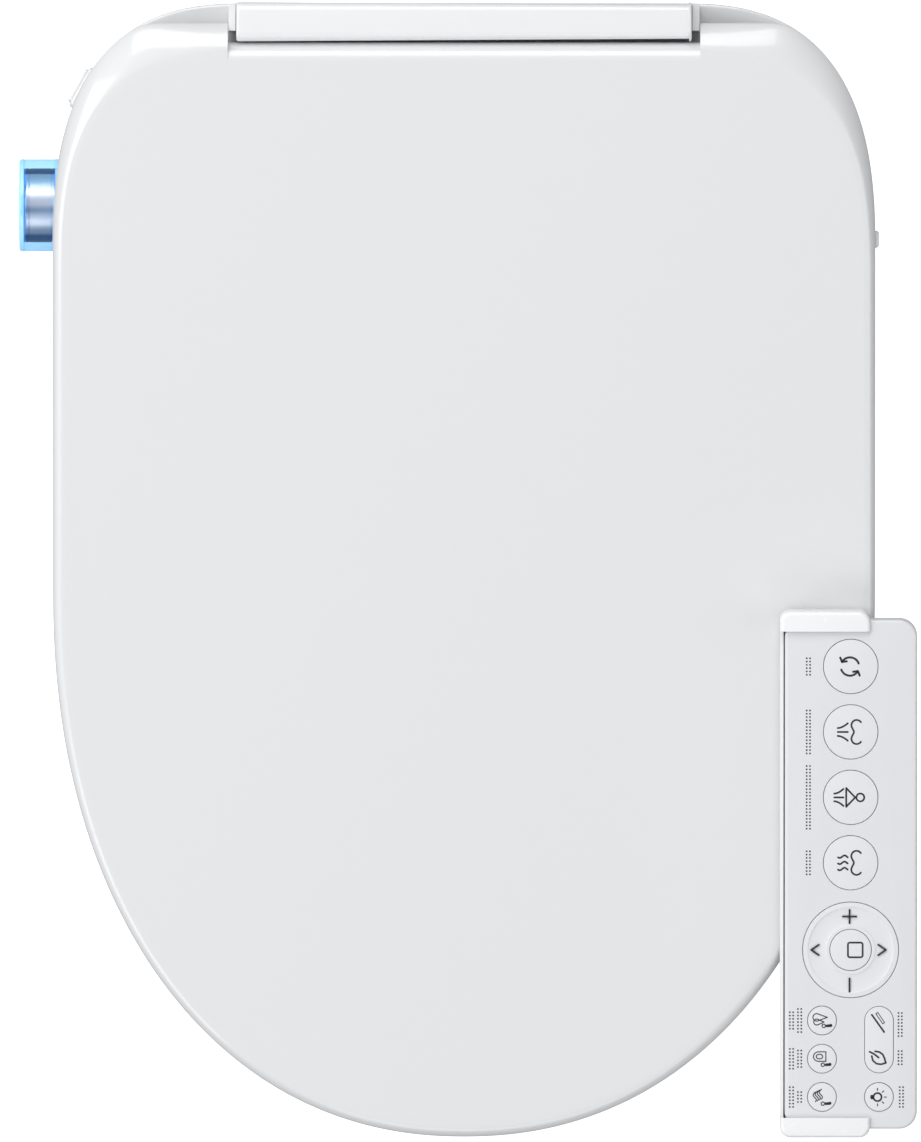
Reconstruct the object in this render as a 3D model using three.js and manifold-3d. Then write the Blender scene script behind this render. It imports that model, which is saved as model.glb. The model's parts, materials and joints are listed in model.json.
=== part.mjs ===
// Electric bidet seat: base unit, heated seat ring, lid, side knob, and a remote in its cradle.
// Millimetres. +X is the right of someone facing the seat from the front edge looking back,
// +Y is the rear, +Z is up. The origin is midway between the two bowl fixings, on the bowl's
// top face, which the mounting plate and the seat bumpers rest on.
import * as THREE from "three";
import { mergeVertices } from "three/addons/utils/BufferGeometryUtils.js";
import Module from "manifold-3d";

const wasm = await Module();
wasm.setup();

// ---- driving dimensions ----------------------------------------------------------------
const HALF_WIDTH = 193; // half of the 386 mm overall width
const REAR_Y = 57; // rear edge, from the bowl fixings
const FRONT_Y = -475; // front tip: 532 mm overall length
const FRONT_CENTRE_Y = -219; // where the front curve starts
const FRONT_POWER = 2.16; // superellipse exponent of the front
const CORNER_X = 99.3; // centre of the rear corner curve
const CORNER_Y = -63.6;
const CORNER_POWER = 2.7;
const TOP_REAR_Z = 98; // lid's top at its rear edge
const TOP_FRONT_Z = 56; // lid's top at the front tip
const TOP_REAR_Y = 38;
const WALL = 2.5; // moulded wall
const GAP = 0.4; // clearance between pieces that touch

const ROLL_RADIUS = 9; // the lid's rear roll, round the hinge line
const HINGE_Y = 29.2;
const LID_ARM_SETBACK = 9.8; // lid arms end this far in from the rear edge
const ARM_END_BLEND = 4; // where their straight ends meet the corner curve
const SLOT_OUTER = 110.6; // slots beside the rear cover
const SLOT_INNER = 106.6;
const COVER_FRONT_Y = 38.6;

const BASE_LOW_Z = 3; // underside of the lower casing
const SPLIT_Z = 58; // joint between lower and upper casing
const PLATEAU_Z = 60.5; // top of the low rear corners
const HUMP_Z = 76; // top of the casing under the lid
const HUMP_FRONT_Y = -58;
const SWING_Y = 2; // behind this the corners stay low, so that the lid's arms can swing down
const ARM_FRONT_Y = -130; // front end of the base's side arms
const ARM_TOP_Z = 44;

const SEAT_DROP = 16.5; // seat's top below the lid's top
const SEAT_UNDER_Z = 12;
const SEAT_STEP_Y = -134; // in front of the side arms the seat reaches down
const SEAT_STEP_Z = 48;
const SEAT_REAR_Y = -62;
const HOLE_Y = -255;
const HOLE_HALF_WIDTH = 107;
const HOLE_HALF_LENGTH = 143;

const slope = (TOP_REAR_Z - TOP_FRONT_Z) / (TOP_REAR_Y - FRONT_Y);
const TILT = Math.atan(slope);
const topZ = (y) => TOP_REAR_Z + (y - TOP_REAR_Y) * slope;
const HINGE_Z = topZ(HINGE_Y) - ROLL_RADIUS;

// ---- materials -------------------------------------------------------------------------
const material = (color, roughness, metalness = 0) =>
  new THREE.MeshStandardMaterial({ color, roughness, metalness });
const gloss = material(0xeeeff1, 0.25);
const satin = material(0xe2e4e6, 0.45);
const seatWhite = material(0xf0f0ee, 0.3);
const innerGrey = material(0xb8bcc0, 0.6);
const darkPlastic = material(0x35383c, 0.6);
const rubber = material(0xd9dadb, 0.9);
const steel = material(0xb5b8bb, 0.35, 1);
const chrome = material(0xd8dde4, 0.08, 1);
const brass = material(0xc2a050, 0.35, 1);
const blueClear = material(0x9fd4ff, 0.15);
const boardGreen = material(0x1f5a3a, 0.6);
const frosted = material(0xe8f2fa, 0.4);
const cellWrap = material(0x3a4a5c, 0.4);

// ---- solids ----------------------------------------------------------------------------
function toSolid(geometry) {
  const bare = geometry.clone();
  bare.deleteAttribute("normal");
  bare.deleteAttribute("uv");
  const merged = mergeVertices(bare, 1e-4);
  return new wasm.Manifold(
    new wasm.Mesh({
      numProp: 3,
      vertProperties: new Float32Array(merged.attributes.position.array),
      triVerts: new Uint32Array(merged.index.array),
    }),
  );
}

function toGeometry(solid) {
  const mesh = solid.getMesh();
  const geometry = new THREE.BufferGeometry();
  geometry.setAttribute("position", new THREE.BufferAttribute(mesh.vertProperties, 3));
  geometry.setIndex(new THREE.BufferAttribute(mesh.triVerts, 1));
  geometry.computeVertexNormals();
  return geometry;
}

const join = (first, ...rest) => rest.reduce((sum, solid) => sum.add(solid), first);
const cut = (first, ...rest) => rest.reduce((left, solid) => left.subtract(solid), first);

// A box between two corners.
function box(low, high) {
  const size = low.map((value, k) => high[k] - value);
  const geometry = new THREE.BoxGeometry(...size);
  geometry.translate(...low.map((value, k) => (value + high[k]) / 2));
  return toSolid(geometry);
}

// A cylinder along an axis, from one end to the other; "at" is its centre in the other two.
function rod(axis, radius, from, to, at, sides = 24) {
  const geometry = new THREE.CylinderGeometry(radius, radius, to - from, sides);
  const middle = (from + to) / 2;
  if (axis === "x") {
    geometry.rotateZ(-Math.PI / 2);
    geometry.translate(middle, at[0], at[1]);
  } else if (axis === "y") {
    geometry.translate(at[0], middle, at[1]);
  } else {
    geometry.rotateX(Math.PI / 2);
    geometry.translate(at[0], at[1], middle);
  }
  return toSolid(geometry);
}

// A polygon in the YZ plane, extruded along X from one side to the other.
function sideProfile(points, fromX, toX) {
  const shape = new THREE.Shape(points.map(([y, z]) => new THREE.Vector2(y, z)));
  const geometry = new THREE.ExtrudeGeometry(shape, { depth: toX - fromX, bevelEnabled: false });
  geometry.rotateX(Math.PI / 2);
  geometry.rotateZ(Math.PI / 2);
  geometry.translate(fromX, 0, 0);
  return toSolid(geometry);
}

// A polygon in the XY plane, extruded up Z.
function planProfile(points, lowZ, highZ) {
  const shape = new THREE.Shape(points.map(([x, y]) => new THREE.Vector2(x, y)));
  const geometry = new THREE.ExtrudeGeometry(shape, { depth: highZ - lowZ, bevelEnabled: false });
  geometry.translate(0, 0, lowZ);
  return toSolid(geometry);
}

// A rectangle with rounded corners, in plan.
function roundedPlan(halfX, halfY, radius, steps = 4) {
  const points = [];
  const quarters = [[1, 1, 0], [-1, 1, 1], [-1, -1, 2], [1, -1, 3]];
  for (const [sx, sy, quarter] of quarters) {
    for (let k = 0; k <= steps; k += 1) {
      const angle = ((quarter + k / steps) * Math.PI) / 2;
      points.push([
        sx * (halfX - radius) + radius * Math.cos(angle),
        sy * (halfY - radius) + radius * Math.sin(angle),
      ]);
    }
  }
  return points;
}

// Rings of equal length stacked into one closed body; each ring is a list of [x, y, z].
function loft(rings) {
  const count = rings[0].length;
  const positions = rings.flat(2);
  const faces = [];
  for (let r = 0; r + 1 < rings.length; r += 1) {
    for (let k = 0; k < count; k += 1) {
      const next = (k + 1) % count;
      const [a, b] = [r * count + k, r * count + next];
      faces.push(a, b, b + count, a, b + count, a + count);
    }
  }
  const middle = (ring) => [0, 1, 2].map((n) => ring.reduce((sum, p) => sum + p[n], 0) / count);
  const low = positions.length / 3;
  positions.push(...middle(rings[0]), ...middle(rings.at(-1)));
  const top = (rings.length - 1) * count;
  for (let k = 0; k < count; k += 1) {
    const next = (k + 1) % count;
    faces.push(low, next, k, low + 1, top + k, top + next);
  }
  const geometry = new THREE.BufferGeometry();
  geometry.setAttribute("position", new THREE.Float32BufferAttribute(positions, 3));
  geometry.setIndex(faces);
  return toSolid(geometry);
}

// The plan outline, anticlockwise from the front tip, drawn in by "inset", with the rear edge
// set back by "setback".
const FRONT_STEPS = 14;
const CORNER_STEPS = 10;
function outline(inset = 0, setback = inset) {
  const right = [];
  const halfWidth = HALF_WIDTH - inset;
  const frontLength = FRONT_CENTRE_Y - FRONT_Y - inset;
  const cornerLength = REAR_Y - CORNER_Y - setback;
  for (let k = 0; k <= FRONT_STEPS; k += 1) {
    const angle = (k / FRONT_STEPS) * (Math.PI / 2);
    right.push([
      halfWidth * Math.sin(angle) ** (2 / FRONT_POWER),
      FRONT_CENTRE_Y - frontLength * Math.cos(angle) ** (2 / FRONT_POWER),
    ]);
  }
  for (let k = 0; k <= CORNER_STEPS; k += 1) {
    const angle = (k / CORNER_STEPS) * (Math.PI / 2);
    right.push([
      CORNER_X + (halfWidth - CORNER_X) * Math.cos(angle) ** (2 / CORNER_POWER),
      CORNER_Y + cornerLength * Math.sin(angle) ** (2 / CORNER_POWER),
    ]);
  }
  const left = right.slice(1).reverse().map(([x, y]) => [-x, y]);
  return [...right, ...left];
}
const prism = (inset, lowZ, highZ) => planProfile(outline(inset), lowZ, highZ);

const FAR = 400; // past the edge of everything, for cuts

// The half-space below or above the lid's top plane, moved down by "drop".
function belowTop(drop, lowZ = -50) {
  return sideProfile(
    [[-FAR * 2, lowZ], [FAR, lowZ], [FAR, topZ(FAR) - drop], [-FAR * 2, topZ(-FAR * 2) - drop]],
    -FAR,
    FAR,
  );
}

const object = new THREE.Group();
function add(name, solid, finish, parent = object) {
  const mesh = new THREE.Mesh(toGeometry(solid), finish);
  mesh.name = name;
  parent.add(mesh);
}

// ---- base unit -------------------------------------------------------------------------
const KNOB_Y = -37.6;
const KNOB_Z = 30;
const KNOB_RADIUS = 21.75;
const PLATE_HALF_X = 100;
const PLATE_TOP_Z = 9;
const RAISED_FLOOR_Z = 12;
const NOZZLE_SLOPE = THREE.MathUtils.degToRad(18);
const NOZZLE_X = 9;
const DRYER_LOW_X = 47;
const DRYER_HIGH_X = 69;
const CORNER_BUTTON = [-179.1, 17.4]; // on the casing's rear left corner
const CORNER_ANGLE = Math.atan2(0.49, -0.871);
const INLET = [-140, 30];
const GLAND = [120, 39];
const RELEASE_Y = -53.5;

// A box turned about Z: u is outward from the corner, v along the wall.
function cornerBox(lowU, highU, halfV, lowZ, highZ) {
  const geometry = new THREE.BoxGeometry(highU - lowU, 2 * halfV, highZ - lowZ);
  geometry.translate((lowU + highU) / 2, 0, (lowZ + highZ) / 2);
  geometry.rotateZ(CORNER_ANGLE);
  geometry.translate(CORNER_BUTTON[0], CORNER_BUTTON[1], 0);
  return toSolid(geometry);
}
function cornerRod(lowU, highU, radius, z) {
  const geometry = new THREE.CylinderGeometry(radius, radius, highU - lowU, 20);
  geometry.rotateZ(-Math.PI / 2);
  geometry.translate((lowU + highU) / 2, 0, z);
  geometry.rotateZ(CORNER_ANGLE);
  geometry.translate(CORNER_BUTTON[0], CORNER_BUTTON[1], 0);
  return toSolid(geometry);
}

const mainRegion = box([-FAR, HUMP_FRONT_Y, -10], [FAR, FAR, FAR]);
const mainInside = box([-FAR, HUMP_FRONT_Y + WALL, -10], [FAR, FAR, FAR]);
const ARM_INNER_X = 150;

function lowerCasing() {
  let body = prism(0, BASE_LOW_Z, SPLIT_Z).intersect(mainRegion);
  body = cut(body, prism(WALL, BASE_LOW_Z + WALL, FAR).intersect(mainInside));
  for (const side of [-1, 1]) {
    const span = (from, to) => [Math.min(side * from, side * to), Math.max(side * from, side * to)];
    const [lowX, highX] = span(ARM_INNER_X, FAR);
    const [lowInX, highInX] = span(ARM_INNER_X + WALL, FAR);
    const arm = prism(0, BASE_LOW_Z, ARM_TOP_Z)
      .intersect(box([lowX, ARM_FRONT_Y, -10], [highX, HUMP_FRONT_Y + 1, FAR]));
    const inside = prism(WALL, -10, ARM_TOP_Z - WALL)
      .intersect(box([lowInX, ARM_FRONT_Y + WALL, -10], [highInX, HUMP_FRONT_Y - 2, FAR]));
    body = join(body, cut(arm, inside));
  }
  const floor = box([-PLATE_HALF_X - 4.5, -52.5, BASE_LOW_Z], [PLATE_HALF_X + 4.5, 55.5, RAISED_FLOOR_Z]);
  const recess = box([-PLATE_HALF_X - 2, -50, -5], [PLATE_HALF_X + 2, FAR, PLATE_TOP_Z + GAP]);
  body = cut(join(body, floor), recess);
  const outside = prism(0, BASE_LOW_Z, SPLIT_Z);
  const boss = rod("x", 25, -FAR / 2, -184.5, [KNOB_Y, KNOB_Z], 40).intersect(outside);
  body = cut(
    join(body, boss),
    rod("x", KNOB_RADIUS + 0.9, -FAR, -187, [KNOB_Y, KNOB_Z], 40),
    rod("x", 4.6, -190, -180, [KNOB_Y, KNOB_Z], 20),
  );
  body = join(body, cornerBox(-2.2, 1.5, 10.5, 38, 53));
  body = cut(body, cornerBox(-0.5, 5, 9.2, 40.5, 50.5), cornerRod(-8, 2, 3.4, 45.5));
  return cut(
    body,
    box([170, RELEASE_Y - 4.6, 22.4], [FAR, RELEASE_Y + 4.4, 33.6]),
    box([-17, HUMP_FRONT_Y - 1, RAISED_FLOOR_Z + 0.2], [17, HUMP_FRONT_Y + 4, 28.5]),
    box([DRYER_LOW_X, HUMP_FRONT_Y - 1, 17], [DRYER_HIGH_X, HUMP_FRONT_Y + 4, 32]),
    box([-62, HUMP_FRONT_Y - 1, 18], [-38, HUMP_FRONT_Y + 4, 26]),
    rod("z", 10.6, 0, 8, INLET),
    rod("z", 7.5, 0, 8, GLAND),
    box([111.6, 3.6, 0], [150.4, 24.4, 8]),
  );
}
add("lower_casing", lowerCasing(), gloss);

function humpRegion(shrink, lowZ, topHeight) {
  const front = prism(12 + shrink, lowZ, topHeight)
    .intersect(box([-FAR, HUMP_FRONT_Y + shrink, -10], [FAR, SWING_Y - shrink, FAR]));
  const middle = box([-SLOT_INNER + shrink, -20, lowZ], [SLOT_INNER - shrink, 36 - shrink, topHeight]);
  return join(front, middle);
}

const BRACKET_X = [122, 134];
const PIN_RADIUS = 3.2;
const PIN_BORE = 3.55;
const BRACKET_RADIUS = 5.4;
const FILL_X = [SLOT_INNER + 0.3, SLOT_OUTER - GAP]; // fillers at the rear of the slots
const FILL_FRONT_Y = 43.6;
const FILL_TOP_Z = 92;

function upperCasing() {
  const plateau = prism(0, SPLIT_Z + GAP, PLATEAU_Z).intersect(mainRegion);
  let body = join(plateau, humpRegion(0, SPLIT_Z + GAP, HUMP_Z));
  body = cut(body, humpRegion(WALL, SPLIT_Z - 5, HUMP_Z - WALL));
  for (const side of [-1, 1]) {
    const [fillLow, fillHigh] = side < 0 ? [-FILL_X[1], -FILL_X[0]] : FILL_X;
    body = join(body, box([fillLow, FILL_FRONT_Y, SPLIT_Z + GAP], [fillHigh, REAR_Y - 1, FILL_TOP_Z]));
    const [lowX, highX] = side < 0 ? [-BRACKET_X[1], -BRACKET_X[0]] : BRACKET_X;
    const arm = sideProfile(
      [
        [-22, HUMP_Z - 1], [-1, HUMP_Z - 1], [6, HINGE_Z - BRACKET_RADIUS],
        [HINGE_Y, HINGE_Z - BRACKET_RADIUS], [HINGE_Y, HINGE_Z + BRACKET_RADIUS], [-16, HINGE_Z - 1],
      ],
      lowX,
      highX,
    );
    body = join(body, arm, rod("x", BRACKET_RADIUS, lowX, highX, [HINGE_Y, HINGE_Z]));
    body = cut(body, rod("x", PIN_BORE, lowX - 1, highX + 1, [HINGE_Y, HINGE_Z]));
  }
  return body;
}
add("upper_casing", upperCasing(), gloss);

// The centre rear cover, a hollow cap with rounded top edges.
const COVER_TOP_Z = TOP_REAR_Z;
function coverProfile(shrink, lowZ) {
  const points = [[COVER_FRONT_Y + shrink, lowZ]];
  const round = (centreY, centreZ, radius, from, to) => {
    for (let k = 0; k <= 5; k += 1) {
      const angle = from + ((to - from) * k) / 5;
      points.push([centreY + radius * Math.cos(angle), centreZ + radius * Math.sin(angle)]);
    }
  };
  const radius = 4.5 - shrink;
  const centreZ = COVER_TOP_Z - 4.5;
  round(COVER_FRONT_Y + 4.5, centreZ, radius, Math.PI, Math.PI / 2);
  round(REAR_Y - 4.5, centreZ, radius, Math.PI / 2, 0);
  points.push([REAR_Y - shrink, lowZ]);
  return points.reverse();
}
add(
  "rear_cover",
  cut(
    sideProfile(coverProfile(0, PLATEAU_Z + GAP), -SLOT_INNER, SLOT_INNER),
    sideProfile(coverProfile(WALL, PLATEAU_Z - 1), -SLOT_INNER + WALL, SLOT_INNER - WALL),
  ),
  gloss,
);

function mountingPlate() {
  let plate = planProfile(roundedPlan(PLATE_HALF_X, 43, 8), 0, PLATE_TOP_Z);
  for (const side of [-1, 1]) {
    const [lowX, highX] = side < 0 ? [-88, -52] : [52, 88];
    plate = cut(plate, box([lowX, -6.6, -1], [highX, 6.6, FAR]));
    plate = cut(plate, box([lowX - 4, -14, 5], [highX + 4, 14, FAR]));
  }
  const geometry = toGeometry(plate);
  geometry.translate(0, -5, 0);
  return toSolid(geometry);
}
add("mounting_plate", mountingPlate(), darkPlastic);

// Pins of the rotary dampers that the lid and the seat turn on.
const PIN_SPAN = [115, 147];
add("damper_pin_left", rod("x", PIN_RADIUS, -PIN_SPAN[1], -PIN_SPAN[0], [HINGE_Y, HINGE_Z]), steel);
add("damper_pin_right", rod("x", PIN_RADIUS, PIN_SPAN[0], PIN_SPAN[1], [HINGE_Y, HINGE_Z]), steel);

// ---- water, drying and electrics -------------------------------------------------------
// A turned group for everything that follows the nozzles' slope: local -Y is their way out.
const nozzleGroup = new THREE.Group();
nozzleGroup.position.set(0, -6, 36);
nozzleGroup.rotation.x = NOZZLE_SLOPE;
object.add(nozzleGroup);

const NOZZLE_RADIUS = 5.2;
const NOZZLE_FRONT = -49.5; // along the slope
const NOZZLE_BACK = 46;
function nozzleCradle() {
  const body = box([-18, -46, -7.2], [18, 47, 1]);
  const channel = (x) => join(
    rod("y", NOZZLE_RADIUS + GAP, -FAR, FAR, [x, 0], 24),
    box([x - NOZZLE_RADIUS - GAP, -FAR, 0], [x + NOZZLE_RADIUS + GAP, FAR, 9]),
  );
  return cut(body, channel(-NOZZLE_X), channel(NOZZLE_X));
}
add("nozzle_cradle", nozzleCradle(), satin, nozzleGroup);

function nozzle(x, holes) {
  const tip = NOZZLE_FRONT;
  let body = rod("y", NOZZLE_RADIUS, tip + 1.2, NOZZLE_BACK, [x, 0], 24);
  body = join(body, rod("y", NOZZLE_RADIUS - 1.2, tip, tip + 2, [x, 0], 24));
  for (let k = 0; k < holes; k += 1) {
    const y = tip + 6 + 3 * k;
    body = cut(body, rod("z", 0.7, NOZZLE_RADIUS - 1.5, NOZZLE_RADIUS + 1, [x, y], 8));
  }
  return body;
}
add("rear_nozzle", nozzle(-NOZZLE_X, 3), satin, nozzleGroup);
add("front_nozzle", nozzle(NOZZLE_X, 4), satin, nozzleGroup);

// A square stepper motor beside the cradle, with its round boss towards the cradle.
function nozzleMotor(side) {
  const nearX = side * 18.4;
  const farX = side * 26;
  const backX = side * 40;
  const can = box([Math.min(farX, backX), 8, -8], [Math.max(farX, backX), 28, 12]);
  return join(can, rod("x", 6, Math.min(nearX, farX), Math.max(nearX, farX), [18, 2], 20));
}
add("rear_nozzle_motor", nozzleMotor(-1), steel, nozzleGroup);
add("front_nozzle_motor", nozzleMotor(1), steel, nozzleGroup);
const hood = sideProfile([[-61.4, 29], [-58.4, 29], [-58.4, 37], [-59.6, 37]], -24, 24);
add("nozzle_hood", hood, gloss);

function waterHeater() {
  const can = planProfile(roundedPlan(28, 24, 6), 13, 47);
  const ports = [-10, 10].map((x) => rod("z", 4, 46, 53, [x, 14], 16));
  const geometry = toGeometry(join(can, ...ports));
  geometry.translate(-74, -24, 0);
  return toSolid(geometry);
}
add("water_heater", waterHeater(), steel);

function solenoidValve() {
  return join(
    box([-158, -16, 8], [-126, 4, 22]),
    rod("z", 9, 21, 42, [-142, -6], 24),
    rod("y", 5, 3, 14, [-134, 15], 16),
  );
}
add("solenoid_valve", solenoidValve(), innerGrey);

function waterInlet() {
  const stem = rod("z", 10, 1, 30, INLET, 24);
  const collar = rod("z", 14, 5.9, 12, INLET, 24);
  return cut(join(stem, collar), rod("z", 6, 0, 26, INLET, 20));
}
add("water_inlet", waterInlet(), brass);
add(
  "diverter_valve",
  join(rod("z", 12, RAISED_FLOOR_Z + GAP, 34, [-84, 26], 24), rod("z", 8, 33, 44, [-84, 26], 20)),
  innerGrey,
);

const FAN_X = 74;
const FAN_Y = -12;
function fanHousing() {
  const shell = join(
    rod("z", 28, RAISED_FLOOR_Z + GAP, 44, [FAN_X, FAN_Y], 36),
    box([DRYER_LOW_X + 1, FAN_Y - 31, 17], [DRYER_HIGH_X - 1, FAN_Y, 40]),
  );
  return cut(
    shell,
    rod("z", 25.5, 15, 41.5, [FAN_X, FAN_Y], 36),
    rod("z", 14, 40, 50, [FAN_X, FAN_Y], 28),
    box([DRYER_LOW_X + 3, -FAR, 19], [DRYER_HIGH_X - 3, FAN_Y, 38]),
  );
}
add("dryer_fan_housing", fanHousing(), darkPlastic);

function fanWheel() {
  const parts = [
    rod("z", 22, 17, 19, [FAN_X, FAN_Y], 32),
    rod("z", 6, 18.5, 34, [FAN_X, FAN_Y], 20),
  ];
  const blades = 14;
  for (let k = 0; k < blades; k += 1) {
    const geometry = new THREE.BoxGeometry(1.2, 7, 19);
    geometry.translate(0, 17.5, 27.8);
    geometry.rotateZ((k * 2 * Math.PI) / blades);
    geometry.translate(FAN_X, FAN_Y, 0);
    parts.push(toSolid(geometry));
  }
  return join(...parts);
}
add("dryer_fan_wheel", fanWheel(), innerGrey);

const DUCT_BACK_Y = FAN_Y - 31 - GAP;
function dryerDuct() {
  const outer = box([DRYER_LOW_X + 0.5, HUMP_FRONT_Y + 0.5, 17.4], [DRYER_HIGH_X - 0.5, DUCT_BACK_Y, 31.6]);
  return cut(outer, box([DRYER_LOW_X + 2, -FAR, 19], [DRYER_HIGH_X - 2, FAR, 30]));
}
add("dryer_duct", dryerDuct(), darkPlastic);
const FLAP_Z = 34;
add(
  "dryer_flap",
  box([DRYER_LOW_X - 1, HUMP_FRONT_Y - 2, 16], [DRYER_HIGH_X + 1, HUMP_FRONT_Y - 0.5, FLAP_Z]),
  gloss,
);

function controlBoard() {
  const board = box([-100, -48, 54.5], [-46, 0, 56]);
  const chips = [[-92, -40, 14, 10], [-70, -38, 12, 12], [-92, -18, 10, 8], [-62, -14, 9, 9]];
  return join(board, ...chips.map(([x, y, w, d]) => box([x, y, 55.5], [x + w, y + d, 60])));
}
add("control_board", controlBoard(), boardGreen);
add(
  "power_supply",
  join(
    planProfile(roundedPlan(24, 22, 3).map(([x, y]) => [x + 136, y - 24]), 8, 34),
    box([122, -40, 33], [150, -32, 42]),
  ),
  innerGrey,
);
add(
  "deodoriser_filter",
  box([112, 4, 3.4], [150, 24, 22]),
  darkPlastic,
);
add("night_light_lens", box([-61.6, HUMP_FRONT_Y + 0.4, 18.4], [-38.4, HUMP_FRONT_Y + 6, 25.6]), frosted);
function cordGland() {
  const body = join(rod("z", 7, 1, 16, GLAND, 24), rod("z", 10, 5.9, 9, GLAND, 24));
  return cut(body, rod("z", 3.8, 0, 14, GLAND, 16));
}
add("cord_gland", cordGland(), darkPlastic);

// ---- buttons on the casing, and the lit knob -------------------------------------------
add(
  "power_button",
  join(cornerBox(0.9, 3.1, 8.8, 40.9, 50.1), cornerRod(-7, 1.5, 3, 45.5)),
  gloss,
);
add(
  "release_button",
  join(
    box([186, RELEASE_Y - 4, 23], [194.8, RELEASE_Y + 4, 33]),
    box([178, RELEASE_Y - 2, 26], [187, RELEASE_Y + 2, 30]),
  ),
  gloss,
);
const CORE_RADIUS = 17.5;
const KNOB_OUTER_X = -208.8;
add(
  "knob_shaft",
  join(
    rod("x", 4, -196, -174, [KNOB_Y, KNOB_Z], 20),
    rod("x", 6.5, -183, -181, [KNOB_Y, KNOB_Z], 20),
  ),
  steel,
);
add(
  "knob_core",
  cut(
    rod("x", CORE_RADIUS, -206.2, -191.4, [KNOB_Y, KNOB_Z], 48),
    rod("x", 4.3, -196.4, -180, [KNOB_Y, KNOB_Z], 20),
  ),
  chrome,
);
function knobSleeve() {
  const outer = rod("x", KNOB_RADIUS, KNOB_OUTER_X, -189.5, [KNOB_Y, KNOB_Z], 48);
  return cut(outer, rod("x", CORE_RADIUS + GAP, -206.6, -180, [KNOB_Y, KNOB_Z], 48));
}
add("knob_sleeve", knobSleeve(), blueClear);

// ---- seat ring -------------------------------------------------------------------------
const SEAT_INSET = 3;
const seatTopZ = (y) => topZ(y) - SEAT_DROP;
const HOLE_STEPS = 40;
function hole(grow, lowZ, highZ) {
  const points = [];
  for (let k = 0; k < HOLE_STEPS; k += 1) {
    const angle = (k * 2 * Math.PI) / HOLE_STEPS;
    points.push([
      (HOLE_HALF_WIDTH + grow) * Math.cos(angle),
      HOLE_Y + (HOLE_HALF_LENGTH + grow) * Math.sin(angle),
    ]);
  }
  return planProfile(points, lowZ, highZ);
}
const beforeRear = (inset) => box([-FAR, -FAR * 2, -50], [FAR, SEAT_REAR_Y - inset, FAR]);

// The seat's outer body: straight walls with an edge rounded over at the top.
function seatBody(inset, drop, holeGrow) {
  const ring = (extra, down) => outline(SEAT_INSET + inset + extra)
    .map(([x, y]) => [x, y, seatTopZ(y) - drop - down]);
  const radius = 6;
  const rings = [outline(SEAT_INSET + inset).map(([x, y]) => [x, y, 0])];
  for (let k = 0; k <= 3; k += 1) {
    const angle = ((k / 3) * Math.PI) / 2;
    rings.push(ring(radius * (1 - Math.cos(angle)), radius * (1 - Math.sin(angle))));
  }
  const body = loft(rings).intersect(beforeRear(inset));
  return cut(body, hole(holeGrow, -10, FAR));
}
// Everything above the seat's underside, which steps up over the base's side arms.
function aboveUnderside(frontZ, backZ, stepY) {
  return join(
    box([-FAR, -FAR * 2, frontZ], [FAR, stepY, FAR]),
    box([-FAR, stepY - 1, backZ], [FAR, 0, FAR]),
  );
}

const SEAT_ARM_X = [136.4, 146];
function seatTop() {
  const shell = cut(seatBody(0, 0, 0), seatBody(3, 3, 3));
  const low = aboveUnderside(SEAT_UNDER_Z + 4, SEAT_STEP_Z + 4, SEAT_STEP_Y - 4.4);
  let body = shell.intersect(low);
  for (const side of [-1, 1]) {
    const [lowX, highX] = side < 0 ? [-SEAT_ARM_X[1], -SEAT_ARM_X[0]] : SEAT_ARM_X;
    const arm = sideProfile(
      [
        [-64.5, 54], [SEAT_REAR_Y, 54], [-60.4, 73], [-58.6, 77.6], [HINGE_Y, HINGE_Z - 5],
        [HINGE_Y, HINGE_Z + 5], [-54, 86.5], [-64.5, 79],
      ],
      lowX,
      highX,
    );
    body = join(body, arm, rod("x", 5, lowX, highX, [HINGE_Y, HINGE_Z], 24));
    body = cut(body, rod("x", PIN_BORE, lowX - 1, highX + 1, [HINGE_Y, HINGE_Z]));
  }
  return body;
}
add("seat_top", seatTop(), seatWhite);

function seatBase() {
  const under = aboveUnderside(SEAT_UNDER_Z, SEAT_STEP_Z, SEAT_STEP_Y);
  const inner = aboveUnderside(SEAT_UNDER_Z + 3.6, SEAT_STEP_Z + 3.6, SEAT_STEP_Y - 3);
  return cut(seatBody(0, 0, 0).intersect(under), inner);
}
add("seat_base", seatBase(), seatWhite);

function seatHeater() {
  const slab = cut(
    belowTop(SEAT_DROP + 3.6, -50),
    belowTop(SEAT_DROP + 4.4, -60),
  );
  const region = cut(
    prism(SEAT_INSET + 14, -50, FAR).intersect(beforeRear(8)),
    hole(12, -60, FAR),
  );
  return slab.intersect(region);
}
add("seat_heater", seatHeater(), darkPlastic);

const BUMPER_PLACES = [
  ["seat_bumper_left_rear", -148, -190], ["seat_bumper_right_rear", 148, -190],
  ["seat_bumper_left_front", -72, -424], ["seat_bumper_right_front", 72, -424],
];
for (const [name, x, y] of BUMPER_PLACES) {
  const points = roundedPlan(8, 17, 6, 3).map(([u, v]) => [x + u, y + v]);
  add(name, planProfile(points, 0, SEAT_UNDER_Z - 0.3), rubber);
}

// ---- lid -------------------------------------------------------------------------------
const LID_INSET = 0.4;
const SKIRT_SIDE = 13; // depth of the skirt along the sides and front
const SKIRT_ARM = 27; // and at the ends of the arms
const EDGE = 4.8; // rounded edge along the sides and front
const FACE_SETBACK = 22.3; // the top face ends here, in a shoulder round the rear corners
const SHOULDER_DROP = 9;
const armWeight = (y) => THREE.MathUtils.smoothstep(y, -85, 12);
const blend = (from, to, weight) => from + (to - from) * weight;

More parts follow.
